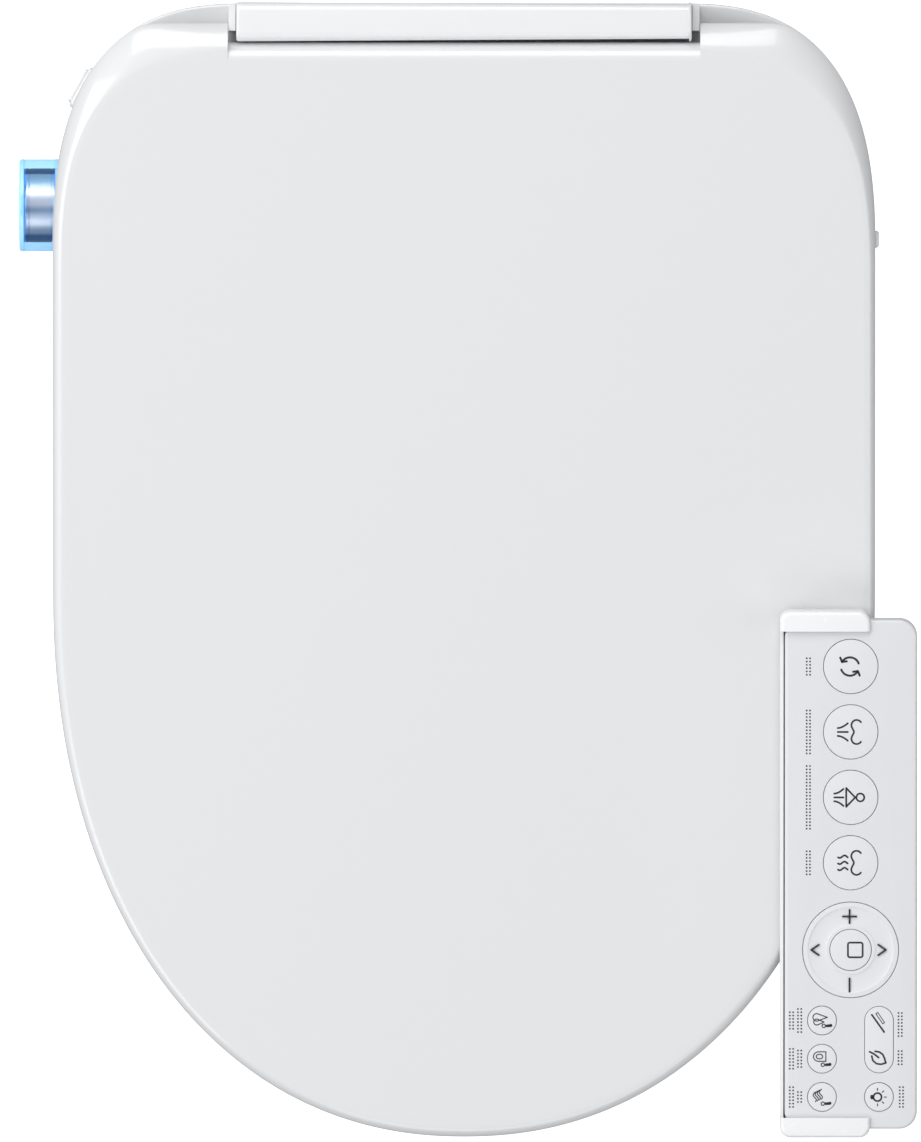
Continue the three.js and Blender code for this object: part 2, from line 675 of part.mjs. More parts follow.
// The lid's outline follows the casing's, but its arms end in a straight line.
function lidOutline(inset) {
  const bendY = REAR_Y - LID_ARM_SETBACK - inset - ARM_END_BLEND;
  return outline(LID_INSET + inset).map(([x, y]) => {
    const beyond = Math.min(Math.max(y - bendY, 0), 2 * ARM_END_BLEND);
    return [x, Math.min(y, bendY) + beyond - beyond ** 2 / (4 * ARM_END_BLEND)];
  });
}

function lidBody(inset, drop) {
  const steps = 5;
  const wide = lidOutline(inset);
  const border = outline(LID_INSET + EDGE + inset, FACE_SETBACK + inset);
  const ring = (angle) => wide.map(([x, y], k) => {
    const across = 1 - Math.cos(angle);
    const down = blend(EDGE, SHOULDER_DROP, armWeight(y)) * (1 - Math.sin(angle));
    const v = blend(y, border[k][1], across);
    return [blend(x, border[k][0], across), v, topZ(v) - drop - down];
  });
  const rings = [wide.map(([x, y]) => [x, y, topZ(y) - blend(SKIRT_SIDE, SKIRT_ARM, armWeight(y))])];
  for (let k = 0; k <= steps; k += 1) {
    rings.push(ring(((k / steps) * Math.PI) / 2));
  }
  return rings;
}

function lidShell() {
  const outer = loft(lidBody(0, 0));
  const innerRings = lidBody(WALL, WALL);
  innerRings[0] = innerRings[0].map(([x, y, z]) => [x, y, z - 30]);
  const inner = loft(innerRings);
  const behind = box([-SLOT_OUTER, HINGE_Y - GAP / 2, -10], [SLOT_OUTER, FAR, FAR]);
  let body = cut(outer, inner, behind);
  for (const side of [-1, 1]) {
    const [lowX, highX] = side < 0 ? [-SLOT_OUTER - WALL, -SLOT_OUTER] : [SLOT_OUTER, SLOT_OUTER + WALL];
    body = join(body, outer.intersect(box([lowX, 8, HINGE_Z - 20], [highX, FAR, FAR])));
    const [lugLow, lugHigh] = side < 0 ? [-119.5, -SLOT_OUTER - 1] : [SLOT_OUTER + 1, 119.5];
    const lug = join(
      box([lugLow, HINGE_Y - 6.5, HINGE_Z], [lugHigh, HINGE_Y + 6.5, FAR]),
      rod("x", 6.5, lugLow, lugHigh, [HINGE_Y, HINGE_Z], 24),
    );
    body = join(body, lug.intersect(outer));
  }
  const roll = rod("x", ROLL_RADIUS + 0.05, -SLOT_OUTER - 0.5, SLOT_OUTER + 0.5, [HINGE_Y, HINGE_Z], 36);
  body = join(body, roll.intersect(outer));
  return cut(
    body,
    rod("x", PIN_BORE, 114.4, 130, [HINGE_Y, HINGE_Z]),
    rod("x", PIN_BORE, -130, -114.4, [HINGE_Y, HINGE_Z]),
  );
}
add("lid_shell", lidShell(), gloss);

const LINER_DROP = 7;
function lidLiner() {
  const slab = cut(belowTop(LINER_DROP, -50), belowTop(LINER_DROP + 2, -60));
  const region = prism(LID_INSET + WALL + 1, -50, FAR)
    .intersect(box([-FAR, -FAR * 2, -60], [FAR, SEAT_REAR_Y - 24, FAR]));
  return slab.intersect(region);
}
add("lid_liner", lidLiner(), gloss);
const lidBumperGroup = new THREE.Group();
lidBumperGroup.position.set(0, -440, topZ(-440));
lidBumperGroup.rotation.x = TILT;
object.add(lidBumperGroup);
for (const [name, x] of [["lid_bumper_left", -52], ["lid_bumper_right", 52]]) {
  const points = roundedPlan(10, 5, 4, 3).map(([u, v]) => [x + u, v]);
  add(name, planProfile(points, -SEAT_DROP + 0.4, -LINER_DROP - 2.5), rubber, lidBumperGroup);
}

// ---- remote in its cradle, lying on the lid's front right ------------------------------
// u is across (+X), v is along (+Y, up the lid's slope), w is up from the lid's top face.
const REMOTE_CENTRE = [180.1, -350];
const REMOTE_LOW_U = -29.9;
const REMOTE_HIGH_U = 32.1;
const REMOTE_HALF_V = 119.7;
const REMOTE_LOW_W = 3.6;
const SEAM_W = 10.8;
const FACE_W = 18;
const CRADLE_LOW_U = -32.1;
const CRADLE_HIGH_U = 10.1;
const CRADLE_HALF_V = 123.7;
const PAD_W = 1;

const remoteGroup = new THREE.Group();
remoteGroup.position.set(REMOTE_CENTRE[0], REMOTE_CENTRE[1], topZ(REMOTE_CENTRE[1]));
remoteGroup.rotation.x = TILT;
object.add(remoteGroup);

add("cradle_pad", box([-29, 30, 0.3], [-4, 112, PAD_W]), rubber, remoteGroup);

function remoteCradle() {
  const halfU = (CRADLE_HIGH_U - CRADLE_LOW_U) / 2;
  const middleU = (CRADLE_HIGH_U + CRADLE_LOW_U) / 2;
  const points = roundedPlan(halfU, CRADLE_HALF_V, 5).map(([u, v]) => [u + middleU, v]);
  const block = planProfile(points, PAD_W + 0.3, FACE_W + 2);
  const room = box(
    [CRADLE_LOW_U + 1.6, -REMOTE_HALF_V - 0.4, REMOTE_LOW_W - 0.3],
    [FAR, REMOTE_HALF_V + 0.4, FACE_W + 0.4],
  );
  const window = box([-FAR, -CRADLE_HALF_V + 9.4, FACE_W - 3], [FAR, CRADLE_HALF_V - 9.4, FAR]);
  return cut(block, room, window);
}
add("remote_cradle", remoteCradle(), gloss, remoteGroup);

function remoteShape(shrink, lowW, highW) {
  const halfU = (REMOTE_HIGH_U - REMOTE_LOW_U) / 2 - shrink;
  const middleU = (REMOTE_HIGH_U + REMOTE_LOW_U) / 2;
  const points = roundedPlan(halfU, REMOTE_HALF_V - shrink, 8.4 - shrink, 5);
  return planProfile(points.map(([u, v]) => [u + middleU, v]), lowW, highW);
}

// Round buttons: name, u, v, radius.
const BIG_U = 0.95;
const BIG_TOP_V = 97.8;
const BIG_PITCH = 30.75;
const BIG_RADIUS = 12.9;
const SMALL_LEFT_U = -12.4;
const SMALL_RIGHT_U = 14.3;
const SMALL_TOP_V = -68.6;
const SMALL_PITCH = 18;
const SMALL_RADIUS = 6.9;
const DPAD_V = -35.4;
const DPAD_RADIUS = 22.6;
const STOP_RADIUS = 9.9;
const PILL_V = -77.6;
const PILL_HALF_V = 15.8;
const bigNames = ["auto_button", "rear_wash_button", "front_wash_button", "dryer_button"];
const smallNames = ["water_heat_button", "seat_heat_button", "air_heat_button"];
const roundButtons = [
  ...bigNames.map((name, k) => [name, BIG_U, BIG_TOP_V - k * BIG_PITCH, BIG_RADIUS]),
  ...smallNames.map((name, k) => [name, SMALL_LEFT_U, SMALL_TOP_V - k * SMALL_PITCH, SMALL_RADIUS]),
  ["light_button", SMALL_RIGHT_U, SMALL_TOP_V - 2 * SMALL_PITCH, SMALL_RADIUS],
];
const CAP_TOP_W = FACE_W + 0.25;
const FLANGE_LOW_W = 14.3;
const FLANGE_HIGH_W = 15.8;
const pill = (shrink, lowW, highW) => planProfile(
  roundedPlan(SMALL_RADIUS - shrink, PILL_HALF_V - shrink, SMALL_RADIUS - shrink - 0.01, 6)
    .map(([u, v]) => [u + SMALL_RIGHT_U, v + PILL_V]),
  lowW,
  highW,
);

function remoteFront() {
  const body = cut(remoteShape(0, SEAM_W + 0.3, FACE_W), remoteShape(2, 0, FACE_W - 1.8));
  const holes = roundButtons.map(([, u, v, radius]) => rod("z", radius, 0, FAR, [u, v], 36));
  holes.push(rod("z", DPAD_RADIUS, 0, FAR, [BIG_U, DPAD_V], 48), pill(0, 0, FAR));
  return cut(body, ...holes);
}
add("remote_front", remoteFront(), gloss, remoteGroup);

const DOOR = { lowU: -27, lowV: 4, highV: 108, topW: 4.7 };
const BATTERY_U = -21;
function remoteBack() {
  const body = cut(remoteShape(0, REMOTE_LOW_W, SEAM_W), remoteShape(2, REMOTE_LOW_W + 2.4, FAR));
  return cut(
    body,
    box([DOOR.lowU - 0.3, DOOR.lowV - 0.3, 0], [FAR, DOOR.highV + 0.3, DOOR.topW + 0.3]),
    box([BATTERY_U - 5.6, 8, 0], [BATTERY_U + 5.6, 104, SEAM_W - 2]),
  );
}
add("remote_back", remoteBack(), gloss, remoteGroup);
add(
  "battery_door",
  box([DOOR.lowU, DOOR.lowV, REMOTE_LOW_W], [REMOTE_HIGH_U - 0.2, DOOR.highV, DOOR.topW]),
  gloss,
  remoteGroup,
);
for (const [name, v] of [["battery_upper", 80], ["battery_lower", 33]]) {
  const cell = join(
    rod("y", 5.2, v - 21.5, v + 21.5, [BATTERY_U, 10.6], 20),
    rod("y", 1.8, v + 21, v + 22.6, [BATTERY_U, 10.6], 12),
  );
  add(name, cell, cellWrap, remoteGroup);
}
add("remote_board", box([-14.5, -112, 12], [28, 112, 13.3]), boardGreen, remoteGroup);

for (const [name, u, v, radius] of roundButtons) {
  const cap = rod("z", radius - 0.35, FLANGE_LOW_W, CAP_TOP_W, [u, v], 36);
  const flange = rod("z", radius + 0.7, FLANGE_LOW_W, FLANGE_HIGH_W, [u, v], 36);
  add(name, join(cap, flange), gloss, remoteGroup);
}
add("eco_clean_button", join(pill(0.35, 15, CAP_TOP_W), pill(-0.7, FLANGE_LOW_W, FLANGE_HIGH_W)), gloss, remoteGroup);
add(
  "direction_pad",
  cut(
    join(
      rod("z", DPAD_RADIUS - 0.35, FLANGE_LOW_W, CAP_TOP_W, [BIG_U, DPAD_V], 48),
      rod("z", DPAD_RADIUS + 0.7, FLANGE_LOW_W, FLANGE_HIGH_W, [BIG_U, DPAD_V], 48),
    ),
    rod("z", STOP_RADIUS, 0, FAR, [BIG_U, DPAD_V], 36),
  ),
  gloss,
  remoteGroup,
);
add("stop_button", rod("z", STOP_RADIUS - 0.4, FLANGE_LOW_W, CAP_TOP_W, [BIG_U, DPAD_V], 36), gloss, remoteGroup);

export default object;
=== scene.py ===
"""Looks for the electric bidet seat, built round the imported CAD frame. Metres."""
import json
import math

import bpy
import numpy as np
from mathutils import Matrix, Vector


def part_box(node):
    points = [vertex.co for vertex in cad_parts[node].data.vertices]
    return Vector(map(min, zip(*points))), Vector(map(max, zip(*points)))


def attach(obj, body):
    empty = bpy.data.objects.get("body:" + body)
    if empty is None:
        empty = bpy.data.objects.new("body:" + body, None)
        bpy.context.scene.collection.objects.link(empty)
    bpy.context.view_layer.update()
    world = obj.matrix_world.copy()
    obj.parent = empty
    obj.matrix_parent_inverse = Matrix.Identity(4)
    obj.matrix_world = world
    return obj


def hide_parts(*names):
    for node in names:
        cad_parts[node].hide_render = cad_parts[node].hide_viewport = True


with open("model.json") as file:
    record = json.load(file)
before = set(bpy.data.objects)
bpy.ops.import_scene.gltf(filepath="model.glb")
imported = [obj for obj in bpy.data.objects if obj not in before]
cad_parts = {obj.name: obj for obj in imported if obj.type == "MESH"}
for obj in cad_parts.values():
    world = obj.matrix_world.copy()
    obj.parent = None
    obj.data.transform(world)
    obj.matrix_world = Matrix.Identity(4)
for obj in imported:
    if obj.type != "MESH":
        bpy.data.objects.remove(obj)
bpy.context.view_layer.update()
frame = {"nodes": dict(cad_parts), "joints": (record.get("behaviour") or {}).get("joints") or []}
nodes = frame["nodes"]
MM = 0.001

# ---- sizes taken from the frame --------------------------------------------------------
joints = {joint["name"]: joint for joint in frame["joints"]}
casing_low, casing_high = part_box("lower_casing")
cover_low, cover_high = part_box("rear_cover")
hinge_y = joints["lid_hinge"]["pos_m"][1]
hinge_z = joints["lid_hinge"]["pos_m"][2]
lift = joints["cradle_lift"]["axis"]
tilt = math.atan2(-lift[1], lift[2])
slope = math.tan(tilt)

HALF_WIDTH = casing_high[0]
REAR_Y = casing_high[1]
ROLL_RADIUS = 9 * MM
FRONT_CENTRE_Y = REAR_Y - 276 * MM
FRONT_Y = REAR_Y - 532 * MM
FRONT_POWER = 2.16
CORNER_X = 99.3 * MM
CORNER_Y = REAR_Y - 120.6 * MM
CORNER_POWER = 2.7
FRONT_STEPS = 72
CORNER_STEPS = 48
WALL = 2.5 * MM
FAR = 0.6


def mm(*values):
    """Millimetres to metres."""
    return tuple(value * MM for value in values)


def top_z(y):
    """Height of the lid's top plane at y."""
    return hinge_z + ROLL_RADIUS + (y - hinge_y) * slope


# ---- mesh helpers ----------------------------------------------------------------------
def new_object(name, vertices, faces):
    mesh = bpy.data.meshes.new(name)
    mesh.from_pydata([tuple(map(float, v)) for v in vertices], [], faces)
    mesh.validate()
    obj = bpy.data.objects.new(name, mesh)
    bpy.context.scene.collection.objects.link(obj)
    return obj


def loft(name, rings):
    """Closed body from rings of equal length, each a list of (x, y, z), bottom first."""
    count = len(rings[0])
    vertices = [p for ring in rings for p in ring]
    faces = []
    for r in range(len(rings) - 1):
        for k in range(count):
            n = (k + 1) % count
            a, b = r * count + k, r * count + n
            faces.append((a, b, b + count, a + count))
    faces.append(tuple(reversed(range(count))))
    top = (len(rings) - 1) * count
    faces.append(tuple(top + k for k in range(count)))
    return new_object(name, vertices, faces)


def box(low, high, name="tool"):
    x0, y0, z0 = low
    x1, y1, z1 = high
    ring = [(x0, y0), (x1, y0), (x1, y1), (x0, y1)]
    return loft(name, [[(x, y, z) for x, y in ring] for z in (z0, z1)])


def rod(axis, radius, start, end, at, name="tool", sides=96, edge=0.0):
    """Cylinder along an axis, its rims rounded by edge; at is its centre in the others."""
    profile = [(start, radius - edge), (end, radius - edge)]
    if edge:
        steps = 5
        angles = [math.pi / 2 * k / steps for k in range(steps + 1)]
        low = [(start + edge - edge * math.cos(a), radius - edge + edge * math.sin(a))
               for a in angles]
        high = [(end - edge + edge * math.sin(a), radius - edge + edge * math.cos(a))
                for a in angles]
        profile = low + high
    rings = []
    for place, r in profile:
        ring = []
        for k in range(sides):
            turn = 2 * math.pi * k / sides
            u, v = r * math.cos(turn), r * math.sin(turn)
            if axis == "x":
                ring.append((place, at[0] + u, at[1] + v))
            elif axis == "y":
                ring.append((at[0] - u, place, at[1] + v))
            else:
                ring.append((at[0] + u, at[1] + v, place))
        rings.append(ring)
    return loft(name, rings)


def side_profile(points, low_x, high_x, name="tool"):
    """A polygon of (y, z) points, anticlockwise seen from +X, extruded along X."""
    return loft(name, [[(x, y, z) for y, z in points] for x in (low_x, high_x)])


def plan(points, low_z, high_z, name="tool"):
    return loft(name, [[(x, y, z) for x, y in points] for z in (low_z, high_z)])


def rounded(half_x, half_y, radius, centre=(0, 0), steps=12):
    """Rounded rectangle in plan, anticlockwise."""
    points = []
    for quarter, (sx, sy) in enumerate([(1, 1), (-1, 1), (-1, -1), (1, -1)]):
        for k in range(steps + 1):
            angle = (quarter + k / steps) * math.pi / 2
            points.append((
                centre[0] + sx * (half_x - radius) + radius * math.cos(angle),
                centre[1] + sy * (half_y - radius) + radius * math.sin(angle),
            ))
    return points


def soft_slab(name, half_x, half_y, radius, low, high, centre=(0, 0), edge=0.6 * MM,
              low_edge=0.0, steps=12):
    """Rounded rectangle slab whose rims are rounded over."""
    rings = []
    turns = [math.pi / 2 * k / 5 for k in range(6)]
    sections = [(low, 0.0)]
    if low_edge:
        sections = [(low + low_edge * (1 - math.sin(a)), low_edge * (1 - math.cos(a)))
                    for a in reversed(turns)]
    sections += [(high - edge * (1 - math.sin(a)), edge * (1 - math.cos(a))) for a in turns]
    for z, inset in sections:
        corner = max(radius - inset, 0.05 * MM)
        ring = rounded(half_x - inset, half_y - inset, corner, centre, steps)
        rings.append([(x, y, z) for x, y in ring])
    return loft(name, rings)


def combine(target, operation, *tools):
    """Boolean operation with each tool in turn; the tools are used up."""
    for tool in tools:
        change = target.modifiers.new("change", "BOOLEAN")
        change.operation = operation
        change.object = tool
        change.solver = "MANIFOLD"
    bpy.context.view_layer.update()
    depsgraph = bpy.context.evaluated_depsgraph_get()
    mesh = bpy.data.meshes.new_from_object(target.evaluated_get(depsgraph))
    target.modifiers.clear()
    old = target.data
    target.data = mesh
    bpy.data.meshes.remove(old)
    for tool in tools:
        bpy.data.objects.remove(tool)
    return target


def cut(target, *tools):
    return combine(target, "DIFFERENCE", *tools)


def join(target, *tools):
    return combine(target, "UNION", *tools)


def keep(target, *tools):
    return combine(target, "INTERSECT", *tools)


def copy_of(obj):
    twin = bpy.data.objects.new("tool", obj.data.copy())
    bpy.context.scene.collection.objects.link(twin)
    return twin


def finish_piece(obj, name, material, body, replaces=(), sharp=32):
    """Smooth shading with crisp edges, then the material, the body and the CAD nodes."""
    obj.name = name
    obj.data.name = name
    obj.data.shade_smooth()
    obj.data.set_sharp_from_angle(angle=math.radians(sharp))
    obj.data.materials.clear()
    obj.data.materials.append(material)
    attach(obj, body)
    if replaces:
        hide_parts(*replaces)
    return obj


def outline(inset=0.0, setback=None):
    """Plan outline, anticlockwise from the front tip, drawn in by inset, and the rear edge
    by setback."""
    setback = inset if setback is None else setback
    half_width = HALF_WIDTH - inset
    front = FRONT_CENTRE_Y - FRONT_Y - inset
    corner = REAR_Y - CORNER_Y - setback
    right = []
    for k in range(FRONT_STEPS + 1):
        angle = k / FRONT_STEPS * math.pi / 2
        right.append((
            half_width * math.sin(angle) ** (2 / FRONT_POWER),
            FRONT_CENTRE_Y - front * max(math.cos(angle), 0) ** (2 / FRONT_POWER),
        ))
    for k in range(CORNER_STEPS + 1):
        angle = k / CORNER_STEPS * math.pi / 2
        right.append((
            CORNER_X + (half_width - CORNER_X) * max(math.cos(angle), 0) ** (2 / CORNER_POWER),
            CORNER_Y + corner * math.sin(angle) ** (2 / CORNER_POWER),
        ))
    left = [(-x, y) for x, y in reversed(right[1:])]
    return right + left


def smoothstep(value, low, high):
    t = min(max((value - low) / (high - low), 0), 1)
    return t * t * (3 - 2 * t)


def blend(start, end, weight):
    return start + (end - start) * weight


# ---- materials -------------------------------------------------------------------------
def shader(name, colour, roughness, metallic=0.0):
    material = bpy.data.materials.new(name)
    material.use_nodes = True
    node = material.node_tree.nodes["Principled BSDF"]
    node.inputs["Base Color"].default_value = (*colour, 1)
    node.inputs["Roughness"].default_value = roughness
    node.inputs["Metallic"].default_value = metallic
    return material, material.node_tree, node


def noise(tree, scale, detail=3.0, stretch=None):
    """Noise in the row frame's metres, optionally stretched."""
    place = tree.nodes.new("ShaderNodeTexCoord")
    texture = tree.nodes.new("ShaderNodeTexNoise")
    texture.inputs["Scale"].default_value = scale
    texture.inputs["Detail"].default_value = detail
    source = place.outputs["Object"]
    if stretch:
        mapping = tree.nodes.new("ShaderNodeMapping")
        mapping.inputs["Scale"].default_value = stretch
        tree.links.new(source, mapping.inputs["Vector"])
        source = mapping.outputs["Vector"]
    tree.links.new(source, texture.inputs["Vector"])
    return texture.outputs["Fac"]


def spread_between(tree, factor, low, high):
    """A value that runs from low to high with the factor's middle range."""
    ranged = tree.nodes.new("ShaderNodeMapRange")
    ranged.inputs["From Min"].default_value = 0.3
    ranged.inputs["From Max"].default_value = 0.7
    ranged.inputs["To Min"].default_value = low
    ranged.inputs["To Max"].default_value = high
    tree.links.new(factor, ranged.inputs["Value"])
    return ranged.outputs["Result"]


def mottle(tree, node, colour, scale, amount):
    """Slight variation of the base colour."""
    ramp = tree.nodes.new("ShaderNodeMix")
    ramp.data_type = "RGBA"
    ramp.inputs[6].default_value = (*[c * (1 - amount) for c in colour], 1)
    ramp.inputs[7].default_value = (*[min(c * (1 + amount), 1) for c in colour], 1)
    tree.links.new(noise(tree, scale, 4), ramp.inputs[0])
    tree.links.new(ramp.outputs[2], node.inputs["Base Color"])


def bump(tree, node, height, strength, distance):
    relief = tree.nodes.new("ShaderNodeBump")
    relief.inputs["Strength"].default_value = strength
    relief.inputs["Distance"].default_value = distance
    tree.links.new(height, relief.inputs["Height"])
    tree.links.new(relief.outputs["Normal"], node.inputs["Normal"])


def moulded(name, colour, roughness, coat=0.0, grain=420, grain_strength=0.06, variation=0.006,
            uneven=0.15, bleed=0.0):
    """Moulded plastic: faint flow mottling, uneven gloss, a fine surface texture, and some
    light carried inside the white plastic."""
    material, tree, node = shader(name, colour, roughness)
    mottle(tree, node, colour, 9, variation)
    rough = spread_between(tree, noise(tree, 60, 4), roughness * (1 - uneven),
                           roughness * (1 + uneven))
    tree.links.new(rough, node.inputs["Roughness"])
    node.inputs["Subsurface Weight"].default_value = bleed
    node.inputs["Subsurface Scale"].default_value = 4 * MM
    node.inputs["Subsurface Radius"].default_value = (1, 1, 1)
    node.inputs["Coat Weight"].default_value = coat
    node.inputs["Coat Roughness"].default_value = 0.08
    bump(tree, node, noise(tree, grain, 2), grain_strength, 0.00015)
    return material


def metal(name, colour, roughness, stretch=(1, 1, 1), scale=400, strength=0.1):
    """Metal with fine scratches along one direction."""
    material, tree, node = shader(name, colour, roughness, 1.0)
    lines = noise(tree, scale, 6, stretch)
    rough = spread_between(tree, lines, roughness * 0.7, roughness * 1.4)
    tree.links.new(rough, node.inputs["Roughness"])
    mottle(tree, node, colour, 30, 0.03)
    bump(tree, node, lines, strength, 0.00005)
    return material

WHITE = (0.80, 0.805, 0.815)
gloss_white = moulded("gloss_white", WHITE, 0.24, coat=0.6, uneven=0.05, bleed=0.3)
lid_white = moulded("lid_white", (0.735, 0.74, 0.75), 0.30, coat=0.6, grain=260,
                    grain_strength=0.03, variation=0.002, uneven=0.03)
seat_white = moulded("seat_white", (0.80, 0.80, 0.795), 0.22, coat=0.4)
satin_white = moulded("satin_white", (0.70, 0.71, 0.72), 0.42)
mid_grey = moulded("mid_grey", (0.42, 0.43, 0.45), 0.5, grain_strength=0.15)
dark_texture = moulded("dark_texture", (0.035, 0.037, 0.04), 0.55, grain=1500,
                       grain_strength=0.35, variation=0.08)
soft_rubber = moulded("soft_rubber", (0.60, 0.60, 0.60), 0.75, grain=1800, grain_strength=0.3,
                      variation=0.03)
brushed = metal("brushed", (0.62, 0.63, 0.65), 0.32, (1, 12, 12))
turned_brass = metal("turned_brass", (0.70, 0.50, 0.22), 0.3, (1, 1, 14))
chrome = metal("chrome", (0.86, 0.89, 0.94), 0.07, (0.4, 30, 30), 300, 0.03)
pin_steel = metal("pin_steel", (0.66, 0.67, 0.69), 0.22, (20, 1, 1))
remote_white = moulded("remote_white", (0.715, 0.72, 0.735), 0.34, coat=0.12, grain=900,
                       grain_strength=0.08)
button_white = moulded("button_white", (0.735, 0.74, 0.755), 0.38, grain=1200,
                       grain_strength=0.08)
bracket_white = moulded("bracket_white", (0.86, 0.865, 0.87), 0.25, coat=0.3)


# ---- lid -------------------------------------------------------------------------------
LID_INSET = 0.4 * MM
ARM_SETBACK = 9.8 * MM
ARM_END_BLEND = 4 * MM
SKIRT_SIDE = 13 * MM
SKIRT_ARM = 27 * MM
EDGE = 4.8 * MM
FACE_SETBACK = 22.3 * MM
SHOULDER_DROP = 9 * MM
SHOULDER_POWER = 1.32
SLOT_OUTER = 110.6 * MM
CROWN = 0.4 * MM
EDGE_STEPS = 12
PIN_BORE = 3.55 * MM
LUG_OUTER = 119.5 * MM
LUG_RADIUS = 6.5 * MM
FACE_SHARES = (0.985, 0.95, 0.9, 0.82, 0.72, 0.6, 0.45, 0.3, 0.15)


def arm_weight(y):
    return smoothstep(y, -85 * MM, 12 * MM)


def lid_outline(inset):
    """The casing's outline, but with the arms ended by a straight line."""
    bend_y = REAR_Y - ARM_SETBACK - inset - ARM_END_BLEND
    points = []
    for x, y in outline(LID_INSET + inset):
        beyond = min(max(y - bend_y, 0), 2 * ARM_END_BLEND)
        points.append((x, min(y, bend_y) + beyond - beyond ** 2 / (4 * ARM_END_BLEND)))
    return points


def lid_rings(inset, drop, crown):
    """The skirt, the rounded edge that widens to a shoulder at the rear, and the top face."""
    wide = lid_outline(inset)
    border = outline(LID_INSET + EDGE + inset, FACE_SETBACK + inset)
    rings = [[(x, y, top_z(y) - blend(SKIRT_SIDE, SKIRT_ARM, arm_weight(y))) for x, y in wide]]
    for k in range(EDGE_STEPS + 1):
        angle = k / EDGE_STEPS * math.pi / 2
        ring = []
        for (x, y), (u, v) in zip(wide, border):
            weight = arm_weight(y)
            power = 2 / blend(2, SHOULDER_POWER, weight)
            across = 1 - math.cos(angle) ** power
            down = blend(EDGE, SHOULDER_DROP, weight) * (1 - math.sin(angle) ** power)
            at = (blend(x, u, across), blend(y, v, across))
            ring.append((*at, top_z(at[1]) - drop - down))
        rings.append(ring)
    centre_y = FRONT_CENTRE_Y
    for share in FACE_SHARES:
        ring = []
        for x, y in border:
            u, v = x * share, centre_y + (y - centre_y) * share
            ring.append((u, v, top_z(v) - drop + crown * (1 - share * share) ** 2))
        rings.append(ring)
    return rings


def make_lid():
    outer = loft("lid", lid_rings(0, 0, CROWN))
    under = lid_rings(WALL, WALL, 0)
    under[0] = [(x, y, z - 0.03) for x, y, z in under[0]]
    cut(outer, loft("tool", under))
    whole = loft("tool", lid_rings(0, 0, 0))
    cut(outer, box((-SLOT_OUTER, hinge_y - 0.2 * MM, 0), (SLOT_OUTER, FAR, FAR)))
    at = (hinge_y, hinge_z)
    for side in (-1, 1):
        wall = sorted((side * SLOT_OUTER, side * (SLOT_OUTER + WALL)))
        lug = sorted((side * (SLOT_OUTER + MM), side * LUG_OUTER))
        flank = box((wall[0], 8 * MM, hinge_z - 20 * MM), (wall[1], FAR, FAR))
        join(outer, keep(flank, copy_of(whole)))
        block = box((lug[0], hinge_y - LUG_RADIUS, hinge_z), (lug[1], hinge_y + LUG_RADIUS, FAR))
        join(block, rod("x", LUG_RADIUS, lug[0], lug[1], at))
        join(outer, keep(block, copy_of(whole)))
    reach = SLOT_OUTER + 0.5 * MM
    roll = rod("x", ROLL_RADIUS + 0.05 * MM, -reach, reach, at, sides=160)
    join(outer, keep(roll, whole))
    cut(
        outer,
        rod("x", PIN_BORE, 114.4 * MM, 130 * MM, at),
        rod("x", PIN_BORE, -130 * MM, -114.4 * MM, at),
    )
    return finish_piece(outer, "lid_panel", lid_white, "lid", ["lid_shell"])


make_lid()


# ---- casing ----------------------------------------------------------------------------
PLATEAU_Z = 60.5 * MM
SPLIT_Z = casing_high[2]
LOW_Z = casing_low[2]
HUMP_FRONT_Y = -58 * MM
HUMP_Z = 76 * MM


def rounded_prism(name, inset, low, high, top_edge, low_edge=0.0):
    """The outline as a slab with rounded rims."""
    turns = [math.pi / 2 * k / 6 for k in range(7)]
    sections = [(low + low_edge * (1 - math.sin(a)), low_edge * (1 - math.cos(a)))
                for a in reversed(turns)] if low_edge else [(low, 0.0)]
    sections += [(high - top_edge * (1 - math.sin(a)), top_edge * (1 - math.cos(a)))
                 for a in turns]
    rings = []
    for z, extra in sections:
        rings.append([(x, y, z) for x, y in outline(inset + extra)])
    return loft(name, rings)


